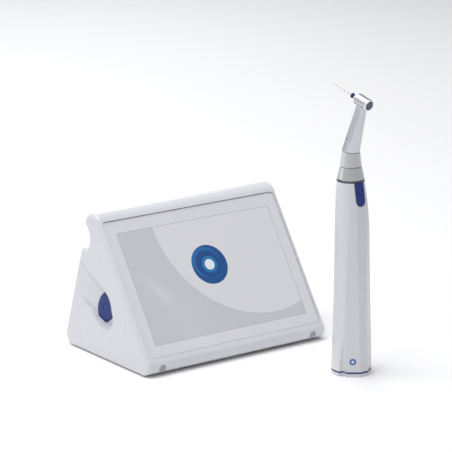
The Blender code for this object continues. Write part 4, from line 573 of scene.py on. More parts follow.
def scoop_outline(grow):
    """Leaf-shaped outline of the scoop, let out by a width."""
    def edge(angle, distance):
        a, b = math.cos(angle), math.sin(angle)
        return a, b, distance + grow + a * SCOOP_CENTRE[0] + b * SCOOP_CENTRE[1]

    def crossing(first, second):
        a, b, p = first
        c, d, q = second
        return (p * d - q * b) / (a * d - c * b), (a * q - c * p) / (a * d - c * b)

    front, lower = edge(SCOOP_FRONT, SCOOP_RADIUS), edge(SCOOP_LOW, SCOOP_RADIUS)
    upper = edge(SCOOP_TOP, SCOOP_RISE)
    behind = edge(math.pi, SCOOP_CENTRE[0] + SCOOP_BACK)
    points = arc(SCOOP_CENTRE, SCOOP_RADIUS + grow, SCOOP_LOW, SCOOP_FRONT, 30)
    start, end = points[-1], crossing(front, upper)
    for i in range(1, BOW_STEPS):
        share = i / BOW_STEPS
        bow = SCOOP_BULGE * math.sin(math.pi * share)
        points.append((start[0] + (end[0] - start[0]) * share + bow * math.cos(SCOOP_FRONT),
                       start[1] + (end[1] - start[1]) * share + bow * math.sin(SCOOP_FRONT)))
    return [crossing(behind, lower), *points, end, crossing(upper, behind)]


def scoop_solid(name, grow, low):
    """Tapered block that fills the scoop, wider away from its floor."""
    rings = []
    for height in (low, SCOOP_REACH):
        rings.append([(x, y, height) for x, y in scoop_outline(grow + max(height, 0.0) * SCOOP_DRAFT)])
    return loft(name, rings, SCOOP)


def button_outline(grow, steps=96):
    """Leaning oval of the power button, let out by a width."""
    points = []
    for i in range(steps):
        angle = 2 * math.pi * i / steps
        x, y = (BUTTON_HALF[0] + grow) * math.cos(angle), (BUTTON_HALF[1] + grow) * math.sin(angle)
        points.append((BUTTON_CENTRE[0] + x * math.cos(BUTTON_TILT) + y * math.sin(BUTTON_TILT),
                       BUTTON_CENTRE[1] - x * math.sin(BUTTON_TILT) + y * math.cos(BUTTON_TILT)))
    return points


def plug_frame(side):
    """Frame on the console's nose whose local Z points out of the skin."""
    y = NOSE_CENTRE[0] + NOSE_RADIUS * math.cos(PLUG_ANGLE)
    z = NOSE_CENTRE[1] + NOSE_RADIUS * math.sin(PLUG_ANGLE)
    return CONSOLE @ shift(side * (WIDTH / 2 - PLUG_INSET), y, z) @ about("X", PLUG_ANGLE - math.pi / 2)


SYMBOL_OUTER = 3.4 * MM
SYMBOL_INNER = 2.9 * MM
SYMBOL_GAP = math.radians(32.0)
SYMBOL_BAR = (1.2 * MM, 3.9 * MM)
SYMBOL_CUT = 3 * MM


def power_symbol(place, z):
    """Cutter for a broken ring with a bar in its gap, about the frame's origin."""
    start, end = math.pi / 2 + SYMBOL_GAP, math.pi / 2 + 2 * math.pi - SYMBOL_GAP
    outline = arc((0, 0), SYMBOL_OUTER, start, end, 40) + arc((0, 0), SYMBOL_INNER, end, start, 40)
    ring = prism("symbol_ring", outline, z, z + SYMBOL_CUT, place)
    half = (SYMBOL_OUTER - SYMBOL_INNER) / 2
    low, high = SYMBOL_BAR
    return ring, box("symbol_bar", (-half, low, z), (half, high, z + SYMBOL_CUT), place)


class ConsoleSettings(PropertyGroup):
    """Sizes of the console's edges and details."""

    side_rounding: FloatProperty(name="Side rounding", description="Radius of the edges round both sides",
                                 default=3.6 * MM, unit="LENGTH")
    side_steps: IntProperty(name="Side steps", description="Rings across each rounded side", default=9, min=3)
    cut_rounding: FloatProperty(name="Cut rounding", description="Rounding of the scoop and the openings",
                                default=0.45 * MM, unit="LENGTH")
    glass_rounding: FloatProperty(name="Glass rounding", description="Ground edge of the cover glass",
                                  default=0.35 * MM, unit="LENGTH")


class HandpieceSettings(PropertyGroup):
    """Sizes of the handpiece's edges and of the file."""

    facet: FloatProperty(name="Facet", description="Depth of the flat facet down the front",
                         default=0.6 * MM, unit="LENGTH")
    sleeve_rounding: FloatProperty(name="Sleeve rounding", description="Rounding of the sleeve's two ends",
                                   default=0.3 * MM, unit="LENGTH")
    edge_rounding: FloatProperty(name="Edge rounding", description="Rounding of neck and finger button",
                                 default=0.25 * MM, unit="LENGTH")
    file_pitch: FloatProperty(name="File pitch", description="Length of one turn of the file's flutes",
                              default=3.4 * MM, unit="LENGTH")


class StageSettings(PropertyGroup):
    """The floor and the light."""

    floor_colour: FloatVectorProperty(name="Backdrop colour", description="Colour of the light all round",
                                      subtype="COLOR", default=linear("#F4F5F8"))
    floor_size: FloatProperty(name="Floor size", description="Width of the floor", default=14.0,
                              unit="LENGTH")
    sky_strength: FloatProperty(name="Sky strength", description="Strength of the even light", default=0.42)


PLUG_PROFILE = in_mm((0, -2.4), (2.9, -2.4), (2.9, -0.3), (2.6, -0.1), (0, -0.1))
PLUG_HOLE = (3.2 * MM, -2.7 * MM)
INLET_HOLE = (5.8 * MM, -6.5 * MM)
WINDOW_CORNER = 1.8 * MM


class ENDO_OT_housing(Operator):
    """Build the hood with its cradle, scoop, openings and front plugs"""

    bl_idname = "endo.housing"
    bl_label = "Console housing"

    def execute(self, context):
        settings = context.scene.endo_console
        rounding, steps = settings.side_rounding, settings.side_steps
        stations = []
        for k in range(steps + 1):
            angle = math.pi / 2 * (1 - k / steps)
            stations.append((-WIDTH / 2 + rounding * (1 - math.sin(angle)), rounding * (1 - math.cos(angle))))
        stations += [(-x, inset) for x, inset in reversed(stations)]
        rings = [[(x, y, z) for y, z in console_outline(inset, inset, False)] for x, inset in stations]
        hood = loft("hood", rings, CONSOLE)
        recess = rounded_rectangle(GLASS[0] + 2 * GAP, GLASS[1] + 2 * GAP, GLASS_CORNER + GAP)
        floor = -(GLASS_SUNK + GLASS[2] + GAP)
        carve(hood, prism("recess", recess, floor, OVERSHOOT * 2, SCREEN), scoop_solid("scoop", 0.0, 0.0))
        soften(hood, settings.cut_rounding, 34.0)
        carve(hood, prism("button_hole", button_outline(GAP), -2 * WALL, OVERSHOOT, SCOOP),
              rod("plug_hole_left", *PLUG_HOLE, OVERSHOOT, plug_frame(-1)),
              rod("plug_hole_right", *PLUG_HOLE, OVERSHOOT, plug_frame(1)),
              rod("inlet_hole", *INLET_HOLE, OVERSHOOT, INLET))
        cavity = loft("cavity", [[(x, y, z) for y, z in console_outline(WALL, FRONT_WALL, True)]
                                 for x in (-INNER_HALF_WIDTH, INNER_HALF_WIDTH)], CONSOLE)
        carve(cavity, scoop_solid("pocket", WALL, -WALL))
        window = rounded_rectangle(PANEL[0] + 2 * GAP, PANEL[1] + 2 * GAP, WINDOW_CORNER)
        carve(hood, cavity, prism("window", window, -FRONT_WALL - OVERSHOOT, floor + OVERSHOOT, SCREEN))
        fit_out(hood, "white", "console", "white_housing", "console_housing")
        for number, side, node in ((1, -1, "front_plug_left"), (2, 1, "front_plug_right")):
            plug = turned(f"nose_plug_{number}", PLUG_PROFILE, plug_frame(side))
            fit_out(plug, "plug", "console", "grey_plug", node)
        return {"FINISHED"}


class ENDO_OT_screen(Operator):
    """Build the cover glass with its printed border and start picture"""

    bl_idname = "endo.screen"
    bl_label = "Screen"

    def execute(self, context):
        settings = context.scene.endo_console
        outline = rounded_rectangle(GLASS[0], GLASS[1], GLASS_CORNER)
        glass = prism("touch_glass", outline, -GLASS_SUNK - GLASS[2], -GLASS_SUNK, SCREEN)
        soften(glass, settings.glass_rounding, 50.0)
        fit_out(glass, "screen", "console", "screen_glass", "cover_glass", keep_frame=True)
        return {"FINISHED"}


# How far the button's outline is let out, and the height, for each ring of its domed crown
BUTTON_CROWN = in_mm((0, -2.7), (0, 0.35), (-0.15, 0.65), (-0.45, 0.86), (-0.9, 0.96), (-2.4, 1.0))
# The same for its flange and neck with their two ends; the stem's first value is its radius
BUTTON_FLANGE, BUTTON_NECK, BUTTON_STEM = in_mm((1.4, -4.0, -2.8), (-0.1, -3.2, -2.0), (2.0, -6.0, -3.0))
SYMBOL_FLOOR = 0.75 * MM


class ENDO_OT_power_button(Operator):
    """Build the oval power button with its engraved symbol"""

    bl_idname = "endo.power_button"
    bl_label = "Power button"

    def execute(self, context):
        rings = [[(x, y, z) for x, y in button_outline(grow)] for grow, z in BUTTON_CROWN]
        button = loft("oval_button", rings, SCOOP)
        flange, neck = (prism(name, button_outline(grow), low, high, SCOOP) for name, (grow, low, high) in
                        (("button_flange", BUTTON_FLANGE), ("button_neck", BUTTON_NECK)))
        carve(button, flange, neck, rod("button_stem", *BUTTON_STEM, SCOOP, BUTTON_CENTRE), operation="UNION")
        place = SCOOP @ shift(*BUTTON_CENTRE, 0) @ about("Z", -BUTTON_TILT)
        carve(button, *power_symbol(place, SYMBOL_FLOOR))
        fit_out(button, "blue", "power_button", "blue_button", "power_button")
        return {"FINISHED"}


# Rounded edge of a foot, as how far in from its rim and how high above its lowest point
FOOT_EDGE = in_mm((2.2, 0.25), (1.9, 0), (0.8, 0), (0.2, 0.3), (0, 0.9))
FOOT_DISH = 0.25 * MM
SCREW_HEAD = in_mm((0, 0), (2.5, 0), (2.8, 0.3), (2.8, 1.1), (1.45, 1.1))
DRIVE_LOBES = 6
DRIVE_POINTS = 24
DRIVE_RADIUS, DRIVE_SWING = 1.15, 0.22
DRIVE_DEPTH = 0.8 * MM


class ENDO_OT_feet(Operator):
    """Build the rubber feet and the base screws"""

    bl_idname = "endo.feet"
    bl_label = "Feet and screws"

    def execute(self, context):
        for i in range(1, 5):
            low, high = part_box(f"foot_{i}")
            centre = ((low.x + high.x) / 2, (low.y + high.y) / 2)
            radius = (high.x - low.x) / 2
            profile = [(0, low.z + FOOT_DISH), *((radius - inset, low.z + rise) for inset, rise in FOOT_EDGE),
                       (radius, high.z), (0, high.z)]
            foot = turned(f"rubber_foot_{i}", profile, centre=centre)
            fit_out(foot, "rubber", "console", "black_rubber", f"foot_{i}")
            low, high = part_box(f"base_screw_{i}")
            centre = ((low.x + high.x) / 2, (low.y + high.y) / 2)
            profile = [(r, low.z + rise) for r, rise in SCREW_HEAD]
            profile += [(SCREW_HEAD[-1][0], high.z), (0, high.z)]
            screw = turned(f"housing_screw_{i}", profile, sides=48, centre=centre)
            star = []
            for k in range(DRIVE_POINTS):
                reach = DRIVE_RADIUS + DRIVE_SWING * math.cos(DRIVE_LOBES * 2 * math.pi * k / DRIVE_POINTS)
                angle = 2 * math.pi * k / DRIVE_POINTS
                star.append((centre[0] + reach * MM * math.cos(angle),
                             centre[1] + reach * MM * math.sin(angle)))
            carve(screw, prism("drive", star, low.z - OVERSHOOT, low.z + DRIVE_DEPTH))
            fit_out(screw, "dark", "console", "dark_steel", f"base_screw_{i}")
        return {"FINISHED"}


# --- Handpiece ---

SHOULDER_HEIGHT = 141.0 * MM
# Height, radius and forward offset of the body at the ends of its straight stretches
STATIONS = ((0.0, BASE_RADIUS, BASE_OFFSET), (124.0 * MM, 13.6 * MM, 2.5 * MM),
            (SHOULDER_HEIGHT, 12.6 * MM, 1.4 * MM), (SLEEVE_TOP, NOSE_RING_RADIUS, 0.0))
WAIST = 0.5 * MM
EASE_REACH = 7.0 * MM
EASE_STEPS = 3
FRONT_FLAT = 1.0 * MM
SIDE_FLAT = 1.9 * MM
SIDE_FLAT_TURN = math.radians(36.0)
BODY_STEP = 3.0 * MM
FLAT_BLOCK_TOP = 10 * MM
FLAT_BLOCK_SPREAD = 1.1


def body_section(height):
    """Radius and forward offset of the handpiece body at a height."""
    for (low, low_radius, low_offset), (high, high_radius, high_offset) in zip(STATIONS, STATIONS[1:]):
        if height <= high:
            share = max(0.0, (height - low) / (high - low))
            draw = WAIST * math.sin(math.pi * share) if low == 0.0 else 0.0
            return (low_radius + (high_radius - low_radius) * share - draw,
                    low_offset + (high_offset - low_offset) * share)
    return NOSE_RING_RADIUS, 0.0


def eased_section(height):
    """The body's section, averaged over a short stretch so that its stations don't show as creases."""
    reach = min(EASE_REACH, height, max(SLEEVE_TOP - height, 0.0))
    sections = [body_section(height + reach * k / EASE_STEPS) for k in range(-EASE_STEPS, EASE_STEPS + 1)]
    return sum(s[0] for s in sections) / len(sections), sum(s[1] for s in sections) / len(sections)


def body_ring(height, grow, facet):
    """Ring of points round the body, with exact corners where its three front flats meet."""
    radius, offset = eased_section(min(max(height, 0.0), SLEEVE_TOP))
    radius += grow
    share = min(1.0, max(0.0, height) / SHOULDER_HEIGHT)
    front = radius - facet - (FRONT_FLAT - facet) * (1 - share)
    side = radius - SIDE_FLAT * (1 - share)
    meet = math.atan((side / front - math.cos(SIDE_FLAT_TURN)) / math.sin(SIDE_FLAT_TURN))
    corner = min(meet, math.acos(front / radius))
    outer = SIDE_FLAT_TURN + math.acos(min(1.0, side / radius))
    points = []
    for start, end, steps in ((-corner, corner, 10), (corner, outer, 16), (outer, 2 * math.pi - outer, 86),
                              (2 * math.pi - outer, 2 * math.pi - corner, 16)):
        for i in range(steps):
            angle = start + (end - start) * i / steps
            reach = radius
            for turn, distance in ((0.0, front), (-SIDE_FLAT_TURN, side), (SIDE_FLAT_TURN, side)):
                lean = math.cos(angle - turn)
                if lean > 0:
                    reach = min(reach, distance / lean)
            points.append((reach * math.sin(angle), -reach * math.cos(angle) - offset, height))
    return points


def body_solid(name, grow, low, high, facet):
    """Solid of the handpiece body between two heights."""
    count = max(2, round((high - low) / BODY_STEP))
    heights = [low + (high - low) * k / count for k in range(count + 1)]
    return loft(name, [body_ring(height, grow, facet) for height in heights], NOSE)


def foot_flats(name, grow, facet):
    """Block that carries the flats of the foot on its front and stands clear of its round."""
    outline = []
    for x, y, _ in body_ring(0.0, grow, facet):
        reach = math.hypot(x, y + BASE_OFFSET)
        scale = FLAT_BLOCK_SPREAD if reach > BASE_RADIUS + grow - MERGE_DISTANCE else 1.0
        outline.append((x * scale, (y + BASE_OFFSET) * scale - BASE_OFFSET))
    return prism(name, outline, -OVERSHOOT, FLAT_BLOCK_TOP, NOSE)


FINGER = (8.6 * MM, 18.3 * MM)
FINGER_LOW = SLEEVE_TOP - FINGER[1]
FINGER_REACH = (4 * MM, 30 * MM)
FINGER_TOP = SLEEVE_TOP + 2 * MM
STEM_HEIGHT = SLEEVE_TOP - 13.5 * MM
STEM_RADIUS = 1.4 * MM
STEM_END = 12.6 * MM
RING_HEIGHT = SLEEVE_TOP - 7.0 * MM
FLUTE_RADIUS = 3.2 * MM
FLUTE_TIP_RADIUS = 1.3 * MM
FLUTE_WALL = 1.3 * MM
FLUTE_HEIGHT = 31.0 * MM
FLUTE_ANGLES = (math.radians(204.0), math.radians(336.0))


def flutes(name, grow):
    """Two tapered rods that hollow the foot's sides, let out by a width."""
    rods = []
    for i, angle in enumerate(FLUTE_ANGLES):
        centre = (BASE_RADIUS * math.cos(angle), BASE_RADIUS * math.sin(angle) - BASE_OFFSET)
        rods.append(rod(f"{name}_{i}", FLUTE_RADIUS + grow, -OVERSHOOT, FLUTE_HEIGHT, NOSE, centre,
                        FLUTE_TIP_RADIUS + grow))
    return rods


def tongue(name, grow):
    """Block with the finger button's outline, let out by a width, that runs through the body's front."""
    half = FINGER[0] / 2 + grow
    foot = arc((0, FINGER_LOW + FINGER[0] / 2), half, math.pi, 2 * math.pi, 32)
    return prism(name, [(half, FINGER_TOP), (-half, FINGER_TOP), *foot], *FINGER_REACH, NOSE @ UPRIGHT)


# Profiles as radius and height
SEAL_PROFILE = in_mm((11.95, 2.95), (16.3, 2.95), (16.5, 3.1), (16.5, 3.5), (16.3, 3.65), (11.95, 3.65))
FOOT_PROFILE = in_mm((0, 2.6), (9.8, 2.6), (9.8, 8.0), (11.6, 8.0), (11.6, 2.6), (16.4, 2.6), (16.6, 2.4),
                     (16.6, 0.7), (16.42, 0.25), (16.0, 0), (12.4, 0), (12.1, 0.3), (0, 0.3))
SEAL_SUNK = 0.1 * MM
FOOT_CENTRE = (0, -BASE_OFFSET)


class ENDO_OT_body(Operator):
    """Build the handpiece's sleeve, seal and foot"""

    bl_idname = "endo.body"
    bl_label = "Handpiece body"

    def execute(self, context):
        settings = context.scene.endo_handpiece
        facet = settings.facet
        sleeve = body_solid("grip_sleeve", 0.0, SLEEVE_BOTTOM, SLEEVE_TOP, facet)
        carve(sleeve, *flutes("flute", 0.0))
        soften(sleeve, settings.sleeve_rounding, 45.0)
        bore = body_solid("bore", -SLEEVE_WALL, SLEEVE_BOTTOM - OVERSHOOT, SLEEVE_TOP + OVERSHOOT, facet)
        carve(bore, *flutes("flute_wall", FLUTE_WALL))
        carve(sleeve, bore)
        carve(sleeve, tongue("finger_slot", GAP))
        fit_out(sleeve, "grip", "handpiece", "white_housing", "body_sleeve", angle=6.0)
        for name, profile, sunk, finish, slot, node in (
                ("foot_seal", SEAL_PROFILE, SEAL_SUNK, "seal", "blue_button", "base_seal"),
                ("foot_cap", FOOT_PROFILE, 0.0, "white", "white_housing", "base_cap")):
            piece = turned(name, profile, NOSE, 128, FOOT_CENTRE)
            carve(piece, foot_flats(name + "_flats", -sunk, facet), operation="INTERSECT")
            carve(piece, *flutes(name + "_flute", sunk))
            fit_out(piece, finish, "handpiece", slot, node)
        return {"FINISHED"}


BUTTON_PROUD = 0.3 * MM
BUTTON_SHELL = 1.0 * MM
GROOVE_FLOOR = 0.05 * MM
GROOVE_PROFILE = in_mm((2.5, 11.0), (2.9, 11.0), (2.9, 20), (2.5, 20))


class ENDO_OT_finger_button(Operator):
    """Build the finger button with its engraved ring"""

    bl_idname = "endo.finger_button"
    bl_label = "Finger button"

    def execute(self, context):
        settings = context.scene.endo_handpiece
        facet, low = settings.facet, FINGER_LOW - OVERSHOOT
        button = tongue("tongue_button", 0.0)
        carve(button, body_solid("skin", BUTTON_PROUD, low, SLEEVE_TOP, facet), operation="INTERSECT")
        carve(button, body_solid("core", -BUTTON_SHELL, low - OVERSHOOT, SLEEVE_TOP + OVERSHOOT, facet))
        soften(button, settings.edge_rounding, 40.0)
        groove = turned("ring_groove", GROOVE_PROFILE, NOSE @ UPRIGHT, 64, (0, RING_HEIGHT))
        carve(groove, body_solid("groove_floor", GROOVE_FLOOR, low, SLEEVE_TOP, facet))
        carve(button, groove)
        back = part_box("finger_button")[1].y
        stem = rod("finger_stem", STEM_RADIUS, NOSE.translation.y - back, STEM_END, NOSE @ UPRIGHT,
                   (0, STEM_HEIGHT))
        carve(button, stem, operation="UNION")
        fit_out(button, "blue", "finger_button", "blue_button", "finger_button")
        return {"FINISHED"}


# Turned pieces of the contra-angle: name, profile, frame, finish, body, slot and node
SLEEVE_PIECES = (
    ("swivel_ring", in_mm((5.5, 156.8), (10.9, 156.8), (11.05, 156.95), (11.05, 157.95), (10.9, 158.1),
                          (5.5, 158.1)), NOSE, "dark", "coupling_ring", "dark_steel", "coupling_ring"),
    ("coupling_sleeve", in_mm((5.5, 168.2), (8.4, 168.2), (8.75, 168.0), (8.85, 167.6), (10.95, 158.9),
                              (10.9, 158.55), (10.6, 158.4), (5.5, 158.4)),
     CONTRA, "steel", "contra_angle", "satin_steel", "contra_base_sleeve"))
CAP_PIECES = (
    ("cap_ring", in_mm((3.7, -5.6), (4.65, -5.6), (4.7, -5.7), (4.7, -7.0), (4.6, -7.35), (4.35, -7.55),
                       (4.1, -7.6), (3.7, -7.6)),
     HEAD, "steel", "contra_angle", "satin_steel", "head_cap_ring"),
    ("push_cap", in_mm((0, -6.5), (3.4, -6.5), (3.4, -7.8), (3.3, -8.05), (3.0, -8.19), (2.4, -8.2),
                       (1.2, -8.12), (0, -8.08)), HEAD, "dark", "head_cap", "dark_steel", "head_cap"))
COLLAR_PROFILE = in_mm((3.4, 183.7), (6.65, 183.7), (8.72, 169.1), (8.74, 168.8), (8.45, 168.5), (5.5, 168.5),
                       (5.5, 171.2), (4.3, 171.2), (4.3, 174.6), (3.4, 174.6))
MITRE_REACH = 20 * MM
NECK_TAPER = (NECK_TIP_RADIUS - BEND_RADIUS) / NECK_LENGTH
NECK_ROOT = -3 * MM
NECK_END = NECK_LENGTH - 0.4 * MM
NECK_PROFILE = [(0, NECK_ROOT), (BEND_RADIUS + NECK_TAPER * NECK_ROOT, NECK_ROOT),
                (NECK_TIP_RADIUS, NECK_END), (0, NECK_END)]
BARREL_PROFILE = [(0, -HEAD_BACK), (4.55 * MM, -HEAD_BACK), (HEAD_RADIUS, 0.15 * MM - HEAD_BACK),
                  *in_mm((4.7, 5.5), (4.55, 5.95), (4.2, 6.25)), (3.8 * MM, HEAD_FRONT), (0, HEAD_FRONT)]
NECK_FLAT_HALF = 2.8 * MM
NECK_FLAT_START = 11.3 * MM
NECK_FLAT_DEPTH = 0.9 * MM
# Radius and both ends of the bores, along the neck and along the head
NECK_BORES = ((3.4 * MM, -10 * MM, 3.4 * MM), (2.5 * MM, 0, NECK_LENGTH))
HEAD_BORES = ((3.9 * MM, -HEAD_BACK - OVERSHOOT, HEAD_FRONT - 1.0 * MM),
              (2.4 * MM, 0, HEAD_FRONT + OVERSHOOT))


def turn_out(pieces):
    """Turn and fit out each piece of a table."""
    for name, profile, place, finish, body, slot, node in pieces:
        fit_out(turned(name, profile, place, 96), finish, body, slot, node)


class ENDO_OT_contra_angle(Operator):
    """Build the coupling ring, the contra-angle's sleeves, its neck and its head"""

    bl_idname = "endo.contra_angle"
    bl_label = "Contra-angle"

    def execute(self, context):
        turn_out(SLEEVE_PIECES)
        far = MITRE_REACH
        collar = turned("bend_collar", COLLAR_PROFILE, CONTRA, 96)
        carve(collar, box("mitre", (-far, -far, -GAP / 2), (far, far, far), KNEE))
        fit_out(collar, "steel", "contra_angle", "satin_steel", "contra_collar")
        neck = turned("neck_and_head", NECK_PROFILE, NECK, 96)
        carve(neck, turned("barrel", BARREL_PROFILE, HEAD, 96), operation="UNION")
        carve(neck, box("neck_mitre", (-far, -far, -far), (far, far, GAP / 2), KNEE))
        top = NECK_LENGTH - HEAD_RADIUS
        outline = [(NECK_FLAT_HALF, top), (-NECK_FLAT_HALF, top),
                   *arc((0, NECK_FLAT_START), NECK_FLAT_HALF, math.pi, 2 * math.pi, 32)]
        for i, side in enumerate((-1, 1)):
            place = NECK @ about("Z", side * math.pi / 2) @ about("X", -math.atan(NECK_TAPER)) @ UPRIGHT
            carve(neck, prism(f"neck_flat_{i}", outline, -far, NECK_FLAT_DEPTH - BEND_RADIUS, place))
        soften(neck, context.scene.endo_handpiece.edge_rounding, 30.0)
        carve(neck, *(rod("neck_bore", *bore, NECK) for bore in NECK_BORES),
              *(rod("head_bore", *bore, HEAD) for bore in HEAD_BORES))
        fit_out(neck, "neck", "contra_angle", "satin_steel", "contra_neck")
        turn_out(CAP_PIECES)
        return {"FINISHED"}


SHANK_TOP = HEAD_FRONT + 2.0 * MM
SHANK_PROFILE = [*in_mm((0, 5.7), (0.75, 5.7)), (0.75 * MM, SHANK_TOP), (1.0 * MM, SHANK_TOP),
                 (1.175 * MM, SHANK_TOP - 0.2 * MM), *in_mm((1.175, -4.5), (1.0, -4.7), (0, -4.7))]
BLADE_ROOT = SHANK_TOP - 2.4 * MM
BLADE_FLUTES = SHANK_TOP + 5.6 * MM
BLADE_TIP = HEAD_FRONT + 31.0 * MM
BLADE_RADIUS = 0.6 * MM
BLADE_TIP_RADIUS = 0.15 * MM
BLADE_POINT = 0.35 * MM
BLADE_STEPS = 150
BLADE_SIDES = 24
LOBES = 3
LOBE_DEPTH = 0.26
LOBE_WIDTH = 1.5
STOPPER_LOW = HEAD_FRONT + 4.6 * MM
STOPPER_BORE, STOPPER_MIDDLE, STOPPER_BULGE, STOPPER_HALF = 0.9 * MM, 1.6 * MM, 0.55 * MM, 0.8 * MM


def blade_ring(z, pitch):
    """Ring of points round the file at a height, three-lobed and turned with the pitch."""
    share = min(1.0, max(0.0, (z - BLADE_FLUTES) / (BLADE_TIP - BLADE_FLUTES)))
    radius = BLADE_RADIUS + (BLADE_TIP_RADIUS - BLADE_RADIUS) * share
    if BLADE_TIP - z < BLADE_POINT:
        radius *= max(BLADE_TIP_RADIUS / MM, (BLADE_TIP - z) / BLADE_POINT)
    depth = LOBE_DEPTH * min(1.0, max(0.0, (z - BLADE_FLUTES) / MM))
    turn = 2 * math.pi * (z - BLADE_FLUTES) / pitch
    ring = []
    for i in range(BLADE_SIDES):
        angle = 2 * math.pi * i / BLADE_SIDES
        reach = radius * (1 - depth * (0.5 + 0.5 * math.cos(LOBES * angle)) ** LOBE_WIDTH)
        ring.append((reach * math.cos(angle + turn), reach * math.sin(angle + turn), z))
    return ring


class ENDO_OT_file(Operator):
    """Build the fluted file, its shank and the depth stopper"""

    bl_idname = "endo.file"
    bl_label = "File and stopper"

    def execute(self, context):
        pitch = context.scene.endo_handpiece.file_pitch
        heights = [BLADE_ROOT + (BLADE_TIP - BLADE_ROOT) * k / BLADE_STEPS for k in range(BLADE_STEPS + 1)]
        blade = loft("fluted_file", [blade_ring(z, pitch) for z in heights], HEAD)
        fit_out(blade, "niti", "file", "gold_niti", "file_blade")
        shank = turned("latch_shank", SHANK_PROFILE, HEAD, 64)
        fit_out(shank, "shank", "file", "satin_steel", "file_shank")
        profile = [(STOPPER_BORE, STOPPER_LOW)]
        for angle in (math.pi * i / 12 for i in range(13)):
            profile.append((STOPPER_MIDDLE + STOPPER_BULGE * math.sin(angle),
                            STOPPER_LOW + STOPPER_HALF - STOPPER_HALF * math.cos(angle)))
        profile.append((STOPPER_BORE, STOPPER_LOW + 2 * STOPPER_HALF))
        stopper = turned("silicone_stopper", profile, HEAD, 64)
        fit_out(stopper, "silicone", "depth_stopper", "blue_silicone", "depth_stopper")
        return {"FINISHED"}


KEPT_FINISHES = {
    "white": ("base_plate",),
    "panel": ("display_panel",),
    "zinc": ("display_bracket", "motor_can", "cap_spring", *(f"bracket_screw_{i}" for i in range(1, 5))),
    "board": ("main_board", "button_board", "handpiece_board"),
    "black": ("power_switch", "finger_switch", "speaker", "power_inlet", "inner_frame", "motor_end_bell"),
    "copper": ("charging_coil", "charge_receiver"),
    "wrap": ("battery_cell",),
    "bright": ("nose_tube", "spindle"),
    "rubber": ("nose_o_ring",),
    "steel": ("motor_rotor", "drive_shaft", "upper_shaft"),
    "bronze": ("motor_bearing_front", "motor_bearing_rear", "drive_shaft_bearing", "upper_shaft_bearing",
               "head_bearing_front", "head_bearing_rear"),
}


class ENDO_OT_inside(Operator):
    """Give every CAD node that stays its material"""

    bl_idname = "endo.inside"
    bl_label = "Inner parts"

    def execute(self, context):
        for finish, names in KEPT_FINISHES.items():
            for name in names:
                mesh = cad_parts[name].data
                mesh.materials.clear()
                mesh.materials.append(MATERIALS[finish])
        return {"FINISHED"}


# Name, place, width and power of each soft light, in metres and watts
LIGHTS = (("overhead", (-0.4, 0.1, 1.7), 1.5, 28.0), ("left", (-1.5, 1.4, 0.8), 1.0, 3.5),
          ("behind", (0.6, 1.5, 0.9), 0.9, 5.0))
LIGHT_AIM = Vector((0, 0, 0.08))
LENS = 213.69
SENSOR_WIDTH = 36.0
CLIP = (0.05, 20.0)
CAMERA_PLACE = (-1.2347, -1.6750, 0.6719)
CAMERA_TURN = (math.radians(74.86), 0, math.radians(-36.30))


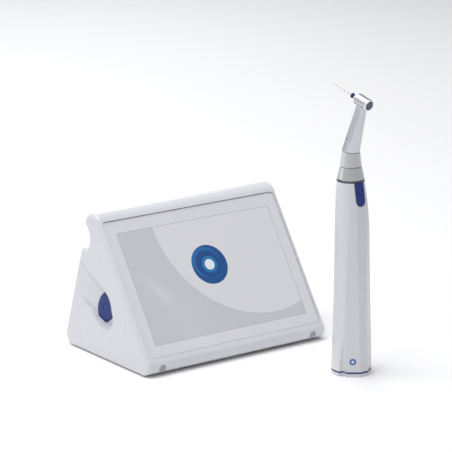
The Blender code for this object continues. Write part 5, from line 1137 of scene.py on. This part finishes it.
class ENDO_OT_stage(Operator):
    """Build the floor, the lights and the camera"""

    bl_idname = "endo.stage"
    bl_label = "Stage"

    def execute(self, context):
        settings = context.scene.endo_stage
        half = settings.floor_size / 2
        bm = bmesh.new()
        bm.faces.new([bm.verts.new((x * half, y * half, 0)) for x, y in ((-1, -1), (1, -1), (1, 1), (-1, 1))])
        floor = shape("floor", bm)
        floor.data.materials.append(MATERIALS["floor"])
        world = bpy.data.worlds.new("studio")
        context.scene.world = world
        world.use_nodes = True
        background = world.node_tree.nodes["Background"]
        background.inputs[0].default_value = (*settings.floor_colour, 1)
        background.inputs[1].default_value = settings.sky_strength
        context.scene.view_settings.view_transform = "Standard"
        for name, place, size, power in LIGHTS:
            light = bpy.data.lights.new(name, "AREA")
            light.shape = "RECTANGLE"
            light.size = size
            light.size_y = size
            light.energy = power
            lamp = bpy.data.objects.new(name, light)
            context.scene.collection.objects.link(lamp)
            lamp.location = place
            lamp.rotation_euler = (LIGHT_AIM - lamp.location).to_track_quat("-Z", "Y").to_euler()
        data = bpy.data.cameras.new("camera")
        data.lens = LENS
        data.sensor_width = SENSOR_WIDTH
        data.clip_start, data.clip_end = CLIP
        camera = bpy.data.objects.new("camera", data)
        context.scene.collection.objects.link(camera)
        camera.location = CAMERA_PLACE
        camera.rotation_euler = CAMERA_TURN
        context.scene.camera = camera
        return {"FINISHED"}


OPERATORS = (ENDO_OT_housing, ENDO_OT_screen, ENDO_OT_power_button, ENDO_OT_feet, ENDO_OT_body,
             ENDO_OT_finger_button, ENDO_OT_contra_angle, ENDO_OT_file, ENDO_OT_inside, ENDO_OT_stage)


class ENDO_PT_panel(Panel):
    """Buttons and settings of the endodontic motor"""

    bl_label = "Endo motor"
    bl_space_type = "VIEW_3D"
    bl_region_type = "UI"
    bl_category = "Endo motor"

    def draw(self, context):
        """Lay out the settings and one button for each operator."""
        for owner in (context.scene.endo_console, context.scene.endo_handpiece, context.scene.endo_stage):
            for name in owner.__annotations__:
                self.layout.prop(owner, name)
        for operator in OPERATORS:
            self.layout.operator(operator.bl_idname)


CLASSES = (ConsoleSettings, HandpieceSettings, StageSettings, *OPERATORS, ENDO_PT_panel)


def register():
    """Register the classes and hang the settings on the scene."""
    for cls in CLASSES:
        bpy.utils.register_class(cls)
    bpy.types.Scene.endo_console = PointerProperty(type=ConsoleSettings)
    bpy.types.Scene.endo_handpiece = PointerProperty(type=HandpieceSettings)
    bpy.types.Scene.endo_stage = PointerProperty(type=StageSettings)


def unregister():
    """Take the settings and the classes away again."""
    del bpy.types.Scene.endo_console
    del bpy.types.Scene.endo_handpiece
    del bpy.types.Scene.endo_stage
    for cls in reversed(CLASSES):
        bpy.utils.unregister_class(cls)


def main():
    """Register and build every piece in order."""
    register()
    MATERIALS.update(make_materials())
    for operator in OPERATORS:
        group, name = operator.bl_idname.split(".")
        result = getattr(getattr(bpy.ops, group), name)()
        if result != {"FINISHED"}:
            raise RuntimeError(operator.bl_idname + " did not finish")


if __name__ == "__main__":
    main()
